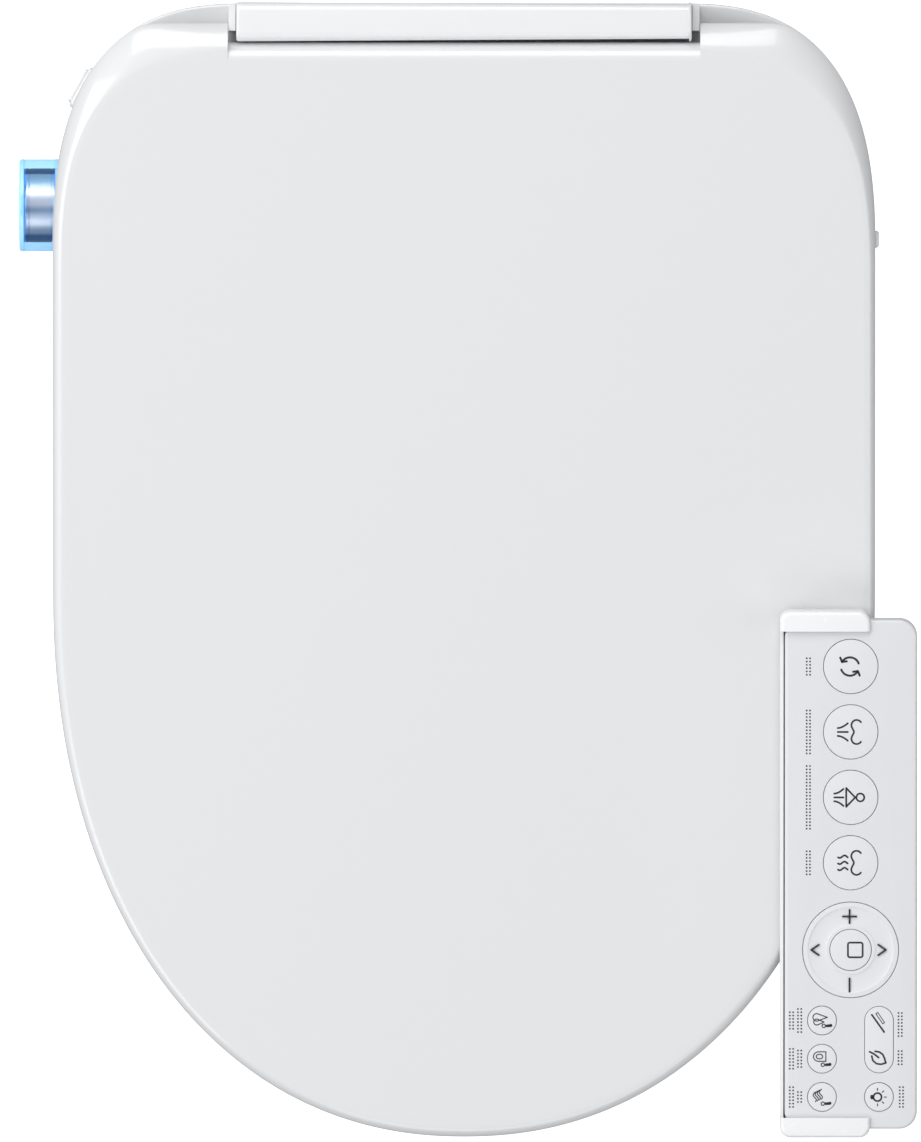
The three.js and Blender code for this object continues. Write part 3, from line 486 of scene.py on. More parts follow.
def make_upper_casing():
    """The low rim round the rear corners, and the raised part under the lid."""
    rim = rounded_prism("rim", 0, SPLIT_Z + 0.4 * MM, PLATEAU_Z, 1.6 * MM)
    keep(rim, box((-FAR, HUMP_FRONT_Y, 0), (FAR, FAR, FAR)))
    top = HUMP_Z
    hump = rounded_prism("tool", 12 * MM, SPLIT_Z + 0.6 * MM, top, 4 * MM)
    keep(hump, box((-FAR, HUMP_FRONT_Y, 0), (FAR, 2 * MM, FAR)))
    middle = box((-106.6 * MM, -20 * MM, SPLIT_Z + 0.6 * MM), (106.6 * MM, 36 * MM, top))
    join(rim, hump, middle)
    inside = rounded_prism("tool", 14.5 * MM, 0.05, top - WALL, 3 * MM)
    keep(inside, box((-FAR, HUMP_FRONT_Y + WALL, 0), (FAR, -0.5 * MM, FAR)))
    middle = box((-104.1 * MM, -20 * MM, 0.05), (104.1 * MM, 33.5 * MM, top - WALL))
    join(inside, middle)
    cut(rim, inside)
    at = (hinge_y, hinge_z)
    radius = 5.4 * MM
    for side in (-1, 1):
        low, high = sorted((side * 122 * MM, side * 134 * MM))
        arm = side_profile([
            (-22 * MM, top - MM), (-MM, top - MM), (6 * MM, hinge_z - radius),
            (hinge_y, hinge_z - radius), (hinge_y, hinge_z + radius),
            (-16 * MM, hinge_z - MM),
        ], low, high)
        low_x, high_x = sorted((side * 106.9 * MM, side * 110.2 * MM))
        filler = box((low_x, 43.6 * MM, SPLIT_Z + MM), (high_x, 56 * MM, 92 * MM))
        join(rim, filler, arm, rod("x", radius, low, high, at))
        cut(rim, rod("x", PIN_BORE, low - MM, high + MM, at))
    return finish_piece(rim, "casing_top", gloss_white, "base", ["upper_casing"])


make_upper_casing()


def make_rear_cover():
    low, high = cover_low, cover_high
    edge = 4.5 * MM
    end_round = 1.2 * MM
    rings = []
    turns = [math.pi / 2 * k / 14 for k in range(15)]

    def ring(x, shrink):
        radius = edge - shrink
        centre_z = high[2] - edge
        points = [(high[1] - shrink, low[2])]
        points += [(high[1] - edge + radius * math.cos(a), centre_z + radius * math.sin(a))
                   for a in turns]
        points += [(low[1] + edge - radius * math.cos(a), centre_z + radius * math.sin(a))
                   for a in reversed(turns)]
        points.append((low[1] + shrink, low[2]))
        return [(x, y, z) for y, z in points]

    ends = [math.pi / 2 * k / 5 for k in range(6)]
    for a in reversed(ends):
        rings.append(ring(low[0] + end_round * (1 - math.sin(a)), end_round * (1 - math.cos(a))))
    for a in reversed(ends):
        rings.append(ring(high[0] - end_round * (1 - math.sin(a)),
                          end_round * (1 - math.cos(a))))
    cover = loft("cover", rings)
    hollow = box((low[0] + WALL, low[1] + WALL, low[2] - 0.01),
                 (high[0] - WALL, high[1] - WALL, high[2] - 4.6 * MM))
    cut(cover, hollow)
    return finish_piece(cover, "cover_strip", gloss_white, "base", ["rear_cover"])


make_rear_cover()


KNOB_PLACE = mm(-37.6, 30)
ARM_FRONT_Y = -130 * MM
ARM_TOP_Z = 44 * MM
BUTTON_Z = 45.5 * MM


def make_lower_casing():
    body = rounded_prism("lower", 0, LOW_Z, SPLIT_Z, 0.5 * MM, 2 * MM)
    keep(body, box((-FAR, HUMP_FRONT_Y, 0), (FAR, FAR, FAR)))
    inside = plan(outline(WALL), LOW_Z + WALL, 0.2)
    cut(body, keep(inside, box((-FAR, HUMP_FRONT_Y + WALL, 0), (FAR, FAR, FAR))))
    for side in (-1, 1):
        x = sorted((side * 150 * MM, side * FAR))
        arm = rounded_prism("tool", 0, LOW_Z, ARM_TOP_Z, 2 * MM, 2 * MM)
        keep(arm, box((x[0], ARM_FRONT_Y, 0), (x[1], HUMP_FRONT_Y + MM, FAR)))
        x = sorted((side * 152.5 * MM, side * FAR))
        inner = plan(outline(WALL), -0.01, ARM_TOP_Z - WALL)
        keep(inner, box((x[0], ARM_FRONT_Y + WALL, -0.02), (x[1], HUMP_FRONT_Y - 2 * MM, FAR)))
        join(body, cut(arm, inner))
    floor = box((-104.5 * MM, -52.5 * MM, LOW_Z), mm(104.5, 55.5, 12))
    join(body, floor)
    cut(body, box((-102 * MM, -50 * MM, -0.01), (102 * MM, FAR, 9.4 * MM)))
    boss = rod("x", 25 * MM, -0.2, -184.5 * MM, KNOB_PLACE)
    join(body, keep(boss, plan(outline(0.2 * MM), LOW_Z, SPLIT_Z)))
    cut(
        body,
        rod("x", 22.65 * MM, -0.3, -187 * MM, KNOB_PLACE),
        rod("x", 4.6 * MM, -190 * MM, -180 * MM, KNOB_PLACE),
    )
    join(body, corner_slab(-2.2 * MM, 1.5 * MM, 10.5 * MM, 38 * MM, 53 * MM, MM))
    cut(body, corner_slab(-0.5 * MM, 5 * MM, 9.2 * MM, 40.5 * MM, 50.5 * MM, 0))
    cut(body, corner_rod(-8 * MM, 2 * MM, 3.4 * MM, BUTTON_Z))
    front = HUMP_FRONT_Y
    cut(
        body,
        box(mm(170, -58.1, 22.4), (FAR, -49.1 * MM, 33.6 * MM)),
        box((-17 * MM, front - MM, 12.2 * MM), (17 * MM, front + 4 * MM, 28.5 * MM)),
        box((47 * MM, front - MM, 17 * MM), (69 * MM, front + 4 * MM, 32 * MM)),
        box((-62 * MM, front - MM, 18 * MM), (-38 * MM, front + 4 * MM, 26 * MM)),
        rod("z", 10.6 * MM, 0, 8 * MM, mm(-140, 30)),
        rod("z", 7.5 * MM, 0, 8 * MM, mm(120, 39)),
        box((111.6 * MM, 3.6 * MM, 0), mm(150.4, 24.4, 8)),
    )
    return finish_piece(body, "casing_tray", gloss_white, "base",
                        ["lower_casing"])


CORNER_PLACE = mm(-179.1, 17.4)
press = joints["power_button_press"]["axis"]
CORNER_ANGLE = math.atan2(-press[1], -press[0])


def turned_to_corner(obj):
    """Turns a tool's mesh so that its +X points outward from the rear left corner."""
    cosine, sine = math.cos(CORNER_ANGLE), math.sin(CORNER_ANGLE)
    for vertex in obj.data.vertices:
        x, y, z = vertex.co
        vertex.co = (
            CORNER_PLACE[0] + x * cosine - y * sine,
            CORNER_PLACE[1] + x * sine + y * cosine,
            z,
        )
    return obj


def corner_slab(low_u, high_u, half_v, low_z, high_z, edge):
    """Rounded pad, thin along its outward direction."""
    half_z = (high_z - low_z) / 2
    middle = (high_z + low_z) / 2
    radius = min(half_z, half_v) * 0.45
    slab = soft_slab("tool", half_v, half_z, radius, low_u, high_u, (0, 0), max(edge, 0.01 * MM))
    for vertex in slab.data.vertices:
        v, w, u = vertex.co
        vertex.co = (u, v, middle + w)
    return turned_to_corner(slab)


def corner_rod(low_u, high_u, radius, z):
    return turned_to_corner(rod("x", radius, low_u, high_u, (0, z), sides=48))


make_lower_casing()


def make_power_button():
    cap = corner_slab(0.9 * MM, 3.1 * MM, 8.8 * MM, 40.9 * MM, 50.1 * MM, 0.9 * MM)
    join(cap, corner_rod(-7 * MM, 1.5 * MM, 3 * MM, BUTTON_Z))
    return finish_piece(cap, "power_key", gloss_white, "power_button",
                        ["power_button"])


make_power_button()


def make_release_button():
    low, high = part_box("release_button")
    centre = ((low[1] + high[1]) / 2, (low[2] + high[2]) / 2)
    cap = soft_slab("release", 4 * MM, 5 * MM, 1.5 * MM, high[0] - 8.8 * MM, high[0],
                    (0, 0), 1.2 * MM)
    for vertex in cap.data.vertices:
        v, w, u = vertex.co
        vertex.co = (u, centre[0] + v, centre[1] + w)
    join(cap, box((low[0], centre[0] - 2 * MM, centre[1] - 2 * MM),
                  (high[0] - 7.8 * MM, centre[0] + 2 * MM, centre[1] + 2 * MM)))
    return finish_piece(cap, "release_key", gloss_white, "release_button",
                        ["release_button"])


make_release_button()


# ---- seat ring -------------------------------------------------------------------------
SEAT_INSET = 3 * MM
SEAT_DROP = 16.5 * MM
SEAT_REAR_Y = -62 * MM
HOLE_Y = -255 * MM
HOLE_HALF = mm(107, 143)
STEP_Y = -134 * MM


def seat_solid(inset, drop, radius, low_z=0.0):
    """The seat's outer body, its top edge rounded over and dished slightly to the hole."""
    base = outline(SEAT_INSET + inset)
    rings = [[(x, y, low_z) for x, y in base]]
    for k in range(13):
        angle = k / 12 * math.pi / 2
        across = radius * (1 - math.cos(angle))
        down = radius * (1 - math.sin(angle))
        ring = outline(SEAT_INSET + inset + across)
        rings.append([(x, y, top_z(y) - SEAT_DROP - drop - down) for x, y in ring])
    border = rings[-1]
    for share in (0.97, 0.93, 0.88, 0.82, 0.75, 0.68, 0.61, 0.54, 0.48):
        dip = 3.2 * MM * smoothstep(1 - share, 0.05, 0.5)
        ring = []
        for x, y, _ in border:
            v = HOLE_Y + (y - HOLE_Y) * share
            ring.append((x * share, v, top_z(v) - SEAT_DROP - drop - dip))
        rings.append(ring)
    body = loft("seat", rings)
    return keep(body, box((-FAR, -FAR, -0.01), (FAR, SEAT_REAR_Y - inset, FAR)))


def hole_tool(grow, lip):
    """Cuts the hole, with the top rim rounded over by lip."""
    heights = [(0, -0.2)]
    for k in range(9):
        angle = k / 8 * math.pi / 2
        dip = 3.2 * MM
        heights.append((lip * (1 - math.cos(angle)), -dip - lip * (1 - math.sin(angle))))
    heights.append((lip, 0.2))
    rings = []
    for extra, height in heights:
        ring = []
        for k in range(180):
            turn = 2 * math.pi * k / 180
            y = HOLE_Y + (HOLE_HALF[1] + grow + extra) * math.sin(turn)
            x = (HOLE_HALF[0] + grow + extra) * math.cos(turn)
            if abs(height) > 0.1:
                z = height
            else:
                z = top_z(y) - SEAT_DROP + height
            ring.append((x, y, z))
        rings.append(ring)
    return loft("tool", rings)


def above_underside(front_z, back_z, step_y):
    front = box((-FAR, -FAR, front_z), (FAR, step_y, FAR))
    return join(front, box((-FAR, step_y - MM, back_z), (FAR, 0, FAR)))


def make_seat_top():
    body = seat_solid(0, 0, 9 * MM)
    cut(body, hole_tool(0, 5 * MM))
    inner = seat_solid(3 * MM, 6.4 * MM, 6 * MM, -0.01)
    cut(inner, hole_tool(3 * MM, 4 * MM))
    cut(body, inner)
    keep(body, above_underside(16 * MM, 52 * MM, STEP_Y - 4.4 * MM))
    at = (hinge_y, hinge_z)
    for side in (-1, 1):
        low, high = sorted((side * 136.4 * MM, side * 146 * MM))
        arm = side_profile([
            mm(-64.5, 54), (SEAT_REAR_Y, 54 * MM), mm(-60.4, 73),
            mm(-58.6, 77.6), (hinge_y, hinge_z - 5 * MM), (hinge_y, hinge_z + 5 * MM),
            mm(-54, 86.5), mm(-64.5, 79),
        ], low, high)
        join(body, arm, rod("x", 5 * MM, low, high, at))
        cut(body, rod("x", PIN_BORE, low - MM, high + MM, at))
    return finish_piece(body, "seat_ring", seat_white, "seat", ["seat_top"])


def make_seat_base():
    low_edge = 3 * MM
    outer = outline(SEAT_INSET)
    rings = []
    for k in range(9):
        angle = math.pi / 2 * (1 - k / 8)
        inset = low_edge * (1 - math.cos(angle))
        z = 12 * MM + low_edge * (1 - math.sin(angle))
        rings.append([(x, y, z) for x, y in outline(SEAT_INSET + inset)])
    rings.append([(x, y, 51.6 * MM) for x, y in outer])
    body = loft("seat_underside", rings)
    keep(body, box((-FAR, -FAR, 0), (FAR, SEAT_REAR_Y, FAR)))
    cut(body, hole_tool(0, 5 * MM))
    keep(body, above_underside(12 * MM, 48 * MM, STEP_Y))
    cut(body, above_underside(15.6 * MM, 51.6 * MM, STEP_Y - 3 * MM))
    ribs = []
    for x, y in ((-148, -190), (148, -190), (-72, -424), (72, -424)):
        pad = soft_slab("tool", 10.5 * MM, 19.5 * MM, 8 * MM, 12.2 * MM, 13.4 * MM,
                        (x * MM, y * MM), 0.3 * MM)
        ribs.append(pad)
    join(body, *ribs)
    return finish_piece(body, "seat_underside", seat_white, "seat",
                        ["seat_base"])


make_seat_top()
make_seat_base()


def make_bumpers():
    for name in ("seat_bumper_left_rear", "seat_bumper_right_rear",
                 "seat_bumper_left_front", "seat_bumper_right_front"):
        low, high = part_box(name)
        centre = ((low[0] + high[0]) / 2, (low[1] + high[1]) / 2)
        half = ((high[0] - low[0]) / 2, (high[1] - low[1]) / 2)
        pad = soft_slab(name, half[0], half[1], 6.5 * MM, low[2], high[2] + 0.2 * MM, centre,
                        0.4 * MM, 1.8 * MM)
        grooves = [box((centre[0] - 0.02, centre[1] + k * 6 * MM - 0.6 * MM, low[2] - MM),
                       (centre[0] + 0.02, centre[1] + k * 6 * MM + 0.6 * MM, low[2] + 0.8 * MM))
                   for k in (-1, 0, 1)]
        cut(pad, *grooves)
        finish_piece(pad, name + "_pad", soft_rubber, "seat", [name])


make_bumpers()


# ---- knob ------------------------------------------------------------------------------
knob_low, knob_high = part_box("knob_sleeve")
core_low, core_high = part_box("knob_core")
KNOB_AT = ((knob_low[1] + knob_high[1]) / 2, (knob_low[2] + knob_high[2]) / 2)
KNOB_RADIUS = (knob_high[2] - knob_low[2]) / 2
CORE_RADIUS = (core_high[2] - core_low[2]) / 2
SLEEVE_BLUE = (0.42, 0.78, 1.0)
# painted deep blue reflection at the chrome drum's two sides
REFLECTION_NAVY = (0.012, 0.07, 0.26)
EDGE_LINE = 0.22 * MM
edge_blue = moulded("edge_blue", (0.03, 0.18, 0.45), 0.3)
# colours of the painted reflection bands on the chrome drum
REFLECTION_BLUE = (0.42, 0.70, 0.95)
REFLECTION_GREY = (0.36, 0.46, 0.62)
REFLECTION_PALE = (0.66, 0.72, 0.84)
REFLECTION_WHITE = (0.82, 0.82, 0.90)


def acrylic(name, clear, solid, painted_glow):
    """Acrylic with a painted glow, emitting light though no lamp is in it: nearly clear face on,
    milky blue where the wall is seen edge on.
    """
    material, tree, node = shader(name, SLEEVE_BLUE, 0.12)
    facing = tree.nodes.new("ShaderNodeLayerWeight")
    facing.inputs["Blend"].default_value = 0.5
    ranged = tree.nodes.new("ShaderNodeMapRange")
    ranged.interpolation_type = "SMOOTHSTEP"
    ranged.inputs["From Min"].default_value = 0.385
    ranged.inputs["From Max"].default_value = 0.415
    ranged.inputs["To Min"].default_value = clear
    ranged.inputs["To Max"].default_value = solid
    tree.links.new(facing.outputs["Facing"], ranged.inputs["Value"])
    tree.links.new(ranged.outputs["Result"], node.inputs["Alpha"])
    # painted glow: the acrylic emits blue light of its own, with no lamp inside
    node.inputs["Emission Color"].default_value = (0.13, 0.50, 1.0, 1)
    strength = spread_between(tree, noise(tree, 90, 2), painted_glow * 0.9, painted_glow * 1.1)
    tree.links.new(strength, node.inputs["Emission Strength"])
    bump(tree, node, noise(tree, 500, 2), 0.05, 0.0001)
    return material


def clear_skin():
    """The sleeve's inner wall: almost invisible, with faint polishing marks."""
    material, tree, node = shader("clear_skin", SLEEVE_BLUE, 0.2)
    node.inputs["Alpha"].default_value = 0.03
    bump(tree, node, noise(tree, 700, 2), 0.05, 0.0001)
    return material


def drum_chrome_painted_reflections():
    """Satin chrome with painted reflections: light and grey reflection bands painted across the
    drum, and the deep blue reflection of the sleeve's glow painted at the drum's two sides.
    """
    material, tree, node = shader("drum_chrome_painted_reflections", (0.80, 0.84, 0.90), 0.34, 0.85)
    place = tree.nodes.new("ShaderNodeTexCoord")
    split = tree.nodes.new("ShaderNodeSeparateXYZ")
    tree.links.new(place.outputs["Object"], split.inputs["Vector"])
    across = tree.nodes.new("ShaderNodeMapRange")
    across.inputs["From Min"].default_value = KNOB_AT[0] - CORE_RADIUS
    across.inputs["From Max"].default_value = KNOB_AT[0] + CORE_RADIUS
    tree.links.new(split.outputs["Y"], across.inputs["Value"])
    # painted reflections: a colour ramp across the drum's width, navy at both sides
    ramp = tree.nodes.new("ShaderNodeValToRGB")
    ramp.color_ramp.interpolation = "EASE"
    tree.links.new(across.outputs["Result"], ramp.inputs["Fac"])
    tree.links.new(ramp.outputs["Color"], node.inputs["Base Color"])
    painted_reflection_bands = [(0.0, REFLECTION_NAVY), (0.08, REFLECTION_NAVY), (0.14, REFLECTION_GREY), (0.24, REFLECTION_PALE), (0.36, REFLECTION_PALE),
             (0.43, REFLECTION_GREY), (0.52, REFLECTION_WHITE), (0.66, REFLECTION_WHITE), (0.74, REFLECTION_GREY),
             (0.84, REFLECTION_BLUE), (0.90, REFLECTION_BLUE), (0.93, REFLECTION_NAVY), (1.0, REFLECTION_NAVY)]
    stops = ramp.color_ramp.elements
    stops[0].position, stops[0].color = 0.0, (*REFLECTION_NAVY, 1)
    stops[1].position, stops[1].color = 1.0, (*REFLECTION_NAVY, 1)
    for position, colour in painted_reflection_bands[1:-1]:
        stops.new(position).color = (*colour, 1)
    lines = noise(tree, 300, 4, (0.5, 12, 12))
    tree.links.new(spread_between(tree, lines, 0.30, 0.38), node.inputs["Roughness"])
    return material


def ring_about_knob(profile, name, sides=192):
    """A closed ring about the knob's axis from an (x, radius) profile."""
    vertices = []
    faces = []
    count = len(profile)
    for k in range(sides):
        turn = 2 * math.pi * k / sides
        for x, r in profile:
            vertices.append((x, KNOB_AT[0] + r * math.cos(turn), KNOB_AT[1] + r * math.sin(turn)))
    for k in range(sides):
        n = (k + 1) % sides
        for p in range(count):
            q = (p + 1) % count
            faces.append((k * count + p, k * count + q, n * count + q, n * count + p))
    return new_object(name, vertices, faces)


def arc(x, r, radius, start, end, steps=8):
    """Points on an arc in the (x, radius) plane, angles in degrees."""
    points = []
    for k in range(steps + 1):
        angle = math.radians(start + (end - start) * k / steps)
        points.append((x + radius * math.cos(angle), r + radius * math.sin(angle)))
    return points


def make_knob():
    left, right = knob_low[0], knob_high[0]
    wall = 2.3 * MM
    edge = 1.5 * MM
    inner = CORE_RADIUS + 0.4 * MM
    # end rings: solid acrylic with a painted glow, rounded outside
    outer_profile = (
        [(left + wall, 5 * MM), (left + wall, KNOB_RADIUS)]
        + arc(left + edge, KNOB_RADIUS - edge, edge, 90, 180)
        + [(left, 5 * MM)]
    )
    ring = ring_about_knob(outer_profile, "knob_end_ring")
    glow_painted_acrylic = acrylic("painted_glow_acrylic", 0.66, 0.85, 0.34)
    finish_piece(ring, "knob_end_ring", glow_painted_acrylic, "knob", ["knob_sleeve"])
    inner_profile = (
        [(right - wall, inner), (right, inner)]
        + arc(right - edge, KNOB_RADIUS - edge, edge, 0, 90)
        + [(right - wall, KNOB_RADIUS)]
    )
    ring = ring_about_knob(inner_profile, "knob_inner_ring")
    finish_piece(ring, "knob_inner_ring", glow_painted_acrylic, "knob", ["knob_sleeve"])
    tube_profile = [
        (left + wall, inner), (right - wall, inner),
        (right - wall, KNOB_RADIUS - 0.1 * MM), (left + wall, KNOB_RADIUS - 0.1 * MM),
    ]
    tube = ring_about_knob(tube_profile, "knob_tube")
    # the tube carries the same painted glow as the end rings
    finish_piece(tube, "knob_tube", acrylic("clear_acrylic_painted_glow", 0.05, 0.74, 0.42), "knob",
                 ["knob_sleeve"])
    # the tube's inner wall lies on the drum, so it stays clear at every angle
    tube.data.materials.append(clear_skin())
    for face in tube.data.polygons:
        if face.index % len(tube_profile) == 0:
            face.material_index = 1
    # chrome core with a turned groove near each end and a dished end cap
    low, high = core_low[0], core_high[0]
    groove = 0.35 * MM
    profile = [(low, 4.4 * MM), (low + 0.6 * MM, CORE_RADIUS - 5 * MM)]
    profile += arc(low + 0.9 * MM, CORE_RADIUS - 0.9 * MM, 0.9 * MM, 180, 90)
    for place in (low + 1.8 * MM, high - 2.4 * MM):
        profile += [(place, CORE_RADIUS), (place + 0.15 * MM, CORE_RADIUS - groove),
                    (place + 0.45 * MM, CORE_RADIUS - groove), (place + 0.6 * MM, CORE_RADIUS)]
    profile += arc(high - 0.9 * MM, CORE_RADIUS - 0.9 * MM, 0.9 * MM, 90, 0)
    profile.append((high, 4.4 * MM))
    profile.reverse()
    core = ring_about_knob(profile, "knob_drum")
    finish_piece(core, "knob_drum", drum_chrome_painted_reflections(), "knob", ["knob_core"])
    # cap that closes the drum's end inside the clear end ring
    cap = rod("x", 5 * MM, left + 0.3 * MM, low + 1.2 * MM, KNOB_AT, "cap", 96, 0.5 * MM)
    finish_piece(cap, "knob_end_cap", chrome, "knob")
    # thin dark edge lines where the end rings meet the tube
    radius = KNOB_RADIUS - 0.35 * MM
    ends = (("knob_edge_line_outer", left + wall), ("knob_edge_line_inner", right - wall))
    for name, place in ends:
        line = ring_about_knob([
            (place - EDGE_LINE, radius), (place + EDGE_LINE, radius),
            (place + EDGE_LINE, radius + EDGE_LINE), (place - EDGE_LINE, radius + EDGE_LINE),
        ], name)
        finish_piece(line, name, edge_blue, "knob")


make_knob()


# ---- remote and cradle -----------------------------------------------------------------
# u is across, v is up the lid's slope, w is out of the lid; placed by the cradle's box.
cradle_low, cradle_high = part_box("remote_cradle")
REMOTE_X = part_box("remote_front")[1][0] - 32.1 * MM
REMOTE_LOW_U = -29.9 * MM
REMOTE_HIGH_U = 32.1 * MM
REMOTE_HALF_V = 119.7 * MM
REMOTE_CORNER = 8.4 * MM
REMOTE_LOW_W = 3.6 * MM
SEAM_W = 10.8 * MM
FACE_W = 18 * MM
REMOTE_CENTRE_U = (REMOTE_LOW_U + REMOTE_HIGH_U) / 2
REMOTE_HALF_U = (REMOTE_HIGH_U - REMOTE_LOW_U) / 2
CAP_TOP_W = FACE_W + 0.25 * MM
cos_tilt, sin_tilt = math.cos(tilt), math.sin(tilt)
# the cradle's box centre sits half its height along the tilted w axis from the origin
CRADLE_MID_W = (1.3 * MM + FACE_W + 2 * MM) / 2
REMOTE_Y = (cradle_low[1] + cradle_high[1]) / 2 + CRADLE_MID_W * sin_tilt


def onto_lid(obj):
    """Moves a mesh made in (u, v, w) to its place on the lid."""
    base_z = top_z(REMOTE_Y)
    count = len(obj.data.vertices)
    places = np.empty(count * 3)
    obj.data.vertices.foreach_get("co", places)
    places = places.reshape(-1, 3)
    u, v, w = places.T
    moved = np.stack([
        REMOTE_X + u,
        REMOTE_Y + v * cos_tilt - w * sin_tilt,
        base_z + v * sin_tilt + w * cos_tilt,
    ], axis=1)
    obj.data.vertices.foreach_set("co", moved.ravel())
    obj.data.update()
    return obj


BIG_U = 0.95 * MM
BIG_TOP_V = 97.8 * MM
BIG_PITCH = 30.75 * MM
BIG_RADIUS = 12.9 * MM
SMALL_LEFT_U = -12.4 * MM
SMALL_RIGHT_U = 14.3 * MM
SMALL_TOP_V = -68.6 * MM
SMALL_PITCH = 18 * MM
SMALL_RADIUS = 6.9 * MM
DPAD_V = -35.4 * MM
DPAD_RADIUS = 22.6 * MM
STOP_RADIUS = 9.9 * MM
PILL_V = -77.6 * MM
PILL_HALF_V = 15.8 * MM
big_names = ["auto_button", "rear_wash_button", "front_wash_button", "dryer_button"]
small_names = ["water_heat_button", "seat_heat_button", "air_heat_button"]
round_buttons = [(name, BIG_U, BIG_TOP_V - k * BIG_PITCH, BIG_RADIUS)
                 for k, name in enumerate(big_names)]
round_buttons += [(name, SMALL_LEFT_U, SMALL_TOP_V - k * SMALL_PITCH, SMALL_RADIUS)
                  for k, name in enumerate(small_names)]
round_buttons.append(("light_button", SMALL_RIGHT_U, SMALL_TOP_V - 2 * SMALL_PITCH,
                      SMALL_RADIUS))


def disc(radius, low, high, centre, edge=0.0, sides=128):
    return rod("z", radius, low, high, centre, "tool", sides, edge)


def make_remote():
    top = soft_slab("remote_face", REMOTE_HALF_U, REMOTE_HALF_V, REMOTE_CORNER,
                    SEAM_W + 0.3 * MM, FACE_W, (REMOTE_CENTRE_U, 0), 1.6 * MM, 0.3 * MM, 20)
    inside = soft_slab("tool", REMOTE_HALF_U - 2 * MM, REMOTE_HALF_V - 2 * MM, 6.4 * MM, 0,
                       FACE_W - 1.8 * MM, (REMOTE_CENTRE_U, 0), 0.5 * MM, 0, 20)
    cut(top, inside)
    lip = 0.25 * MM
    for _, u, v, radius in round_buttons:
        cut(top, disc(radius, 0, 0.03, (u, v)))
        cut(top, countersink(radius, lip, (u, v)))
    cut(top, disc(DPAD_RADIUS, 0, 0.03, (BIG_U, DPAD_V)))
    cut(top, countersink(DPAD_RADIUS, lip, (BIG_U, DPAD_V)))
    cut(top, plan(rounded(SMALL_RADIUS, PILL_HALF_V, SMALL_RADIUS - 0.01 * MM,
                          (SMALL_RIGHT_U, PILL_V), 24), 0, 0.03))
    onto_lid(top)
    finish_piece(top, "remote_face", remote_white, "remote", ["remote_front"])
    back = soft_slab("remote_rear", REMOTE_HALF_U, REMOTE_HALF_V, REMOTE_CORNER,
                     REMOTE_LOW_W, SEAM_W, (REMOTE_CENTRE_U, 0), 0.3 * MM, 2.4 * MM, 20)
    hollow = soft_slab("tool", REMOTE_HALF_U - 2 * MM, REMOTE_HALF_V - 2 * MM, 6.4 * MM,
                       REMOTE_LOW_W + 2.4 * MM, 0.05, (REMOTE_CENTRE_U, 0), 0.2 * MM, 0, 20)
    cut(back, hollow)
    cut(
        back,
        box((-27.3 * MM, 3.7 * MM, 0), (FAR, 108.3 * MM, 5 * MM)),
        box((-26.6 * MM, 8 * MM, 0), (-15.4 * MM, 104 * MM, SEAM_W - 2 * MM)),
    )
    onto_lid(back)
    finish_piece(back, "remote_rear", remote_white, "remote", ["remote_back"])
    door_u = (-27 * MM + REMOTE_HIGH_U - 0.2 * MM) / 2
    door_half = (REMOTE_HIGH_U - 0.2 * MM + 27 * MM) / 2
    door = soft_slab("door", door_half, 52 * MM, 1.2 * MM, REMOTE_LOW_W, 4.7 * MM,
                     (door_u, 56 * MM), 0.2 * MM, 0.25 * MM, 6)
    grooves = [box((-8 * MM, 88 * MM + k * 2.2 * MM, 0), (8 * MM, 89 * MM + k * 2.2 * MM,
                                                          REMOTE_LOW_W + 0.35 * MM))
               for k in range(5)]
    cut(door, *grooves)
    onto_lid(door)
    finish_piece(door, "battery_hatch", remote_white, "battery_door",
                 ["battery_door"])


def countersink(radius, lip, centre):
    """A cone that breaks the edge of a hole in the face."""
    rings = []
    for z, r in ((FACE_W - lip, radius), (FACE_W + 0.05 * MM, radius + lip + 0.05 * MM)):
        rings.append([
            (centre[0] + r * math.cos(2 * math.pi * k / 128),
             centre[1] + r * math.sin(2 * math.pi * k / 128), z)
            for k in range(128)
        ])
    return loft("tool", rings)


def make_cradle():
    low_u, high_u = -32.1 * MM, 10.1 * MM
    half_v = 123.7 * MM
    corner = 5 * MM
    block = soft_slab("cradle", (high_u - low_u) / 2, half_v, corner, 1.3 * MM,
                      FACE_W + 2 * MM, ((low_u + high_u) / 2, 0), 2 * MM, 0.6 * MM, 16)
    room = box((low_u + 1.6 * MM, -REMOTE_HALF_V - 0.4 * MM, REMOTE_LOW_W - 0.3 * MM),
               (FAR, REMOTE_HALF_V + 0.4 * MM, FACE_W + 0.4 * MM))
    window = box((-FAR, -half_v + 9.4 * MM, FACE_W - 3 * MM),
                 (FAR, half_v - 9.4 * MM, FAR))
    cut(block, room, window)
    onto_lid(block)
    finish_piece(block, "cradle_bracket", bracket_white, "cradle",
                 ["remote_cradle"], sharp=40)


make_remote()
make_cradle()


FLANGE_LOW_W = 14.3 * MM
FLANGE_HIGH_W = 15.8 * MM
CAP_EDGE = 0.22 * MM


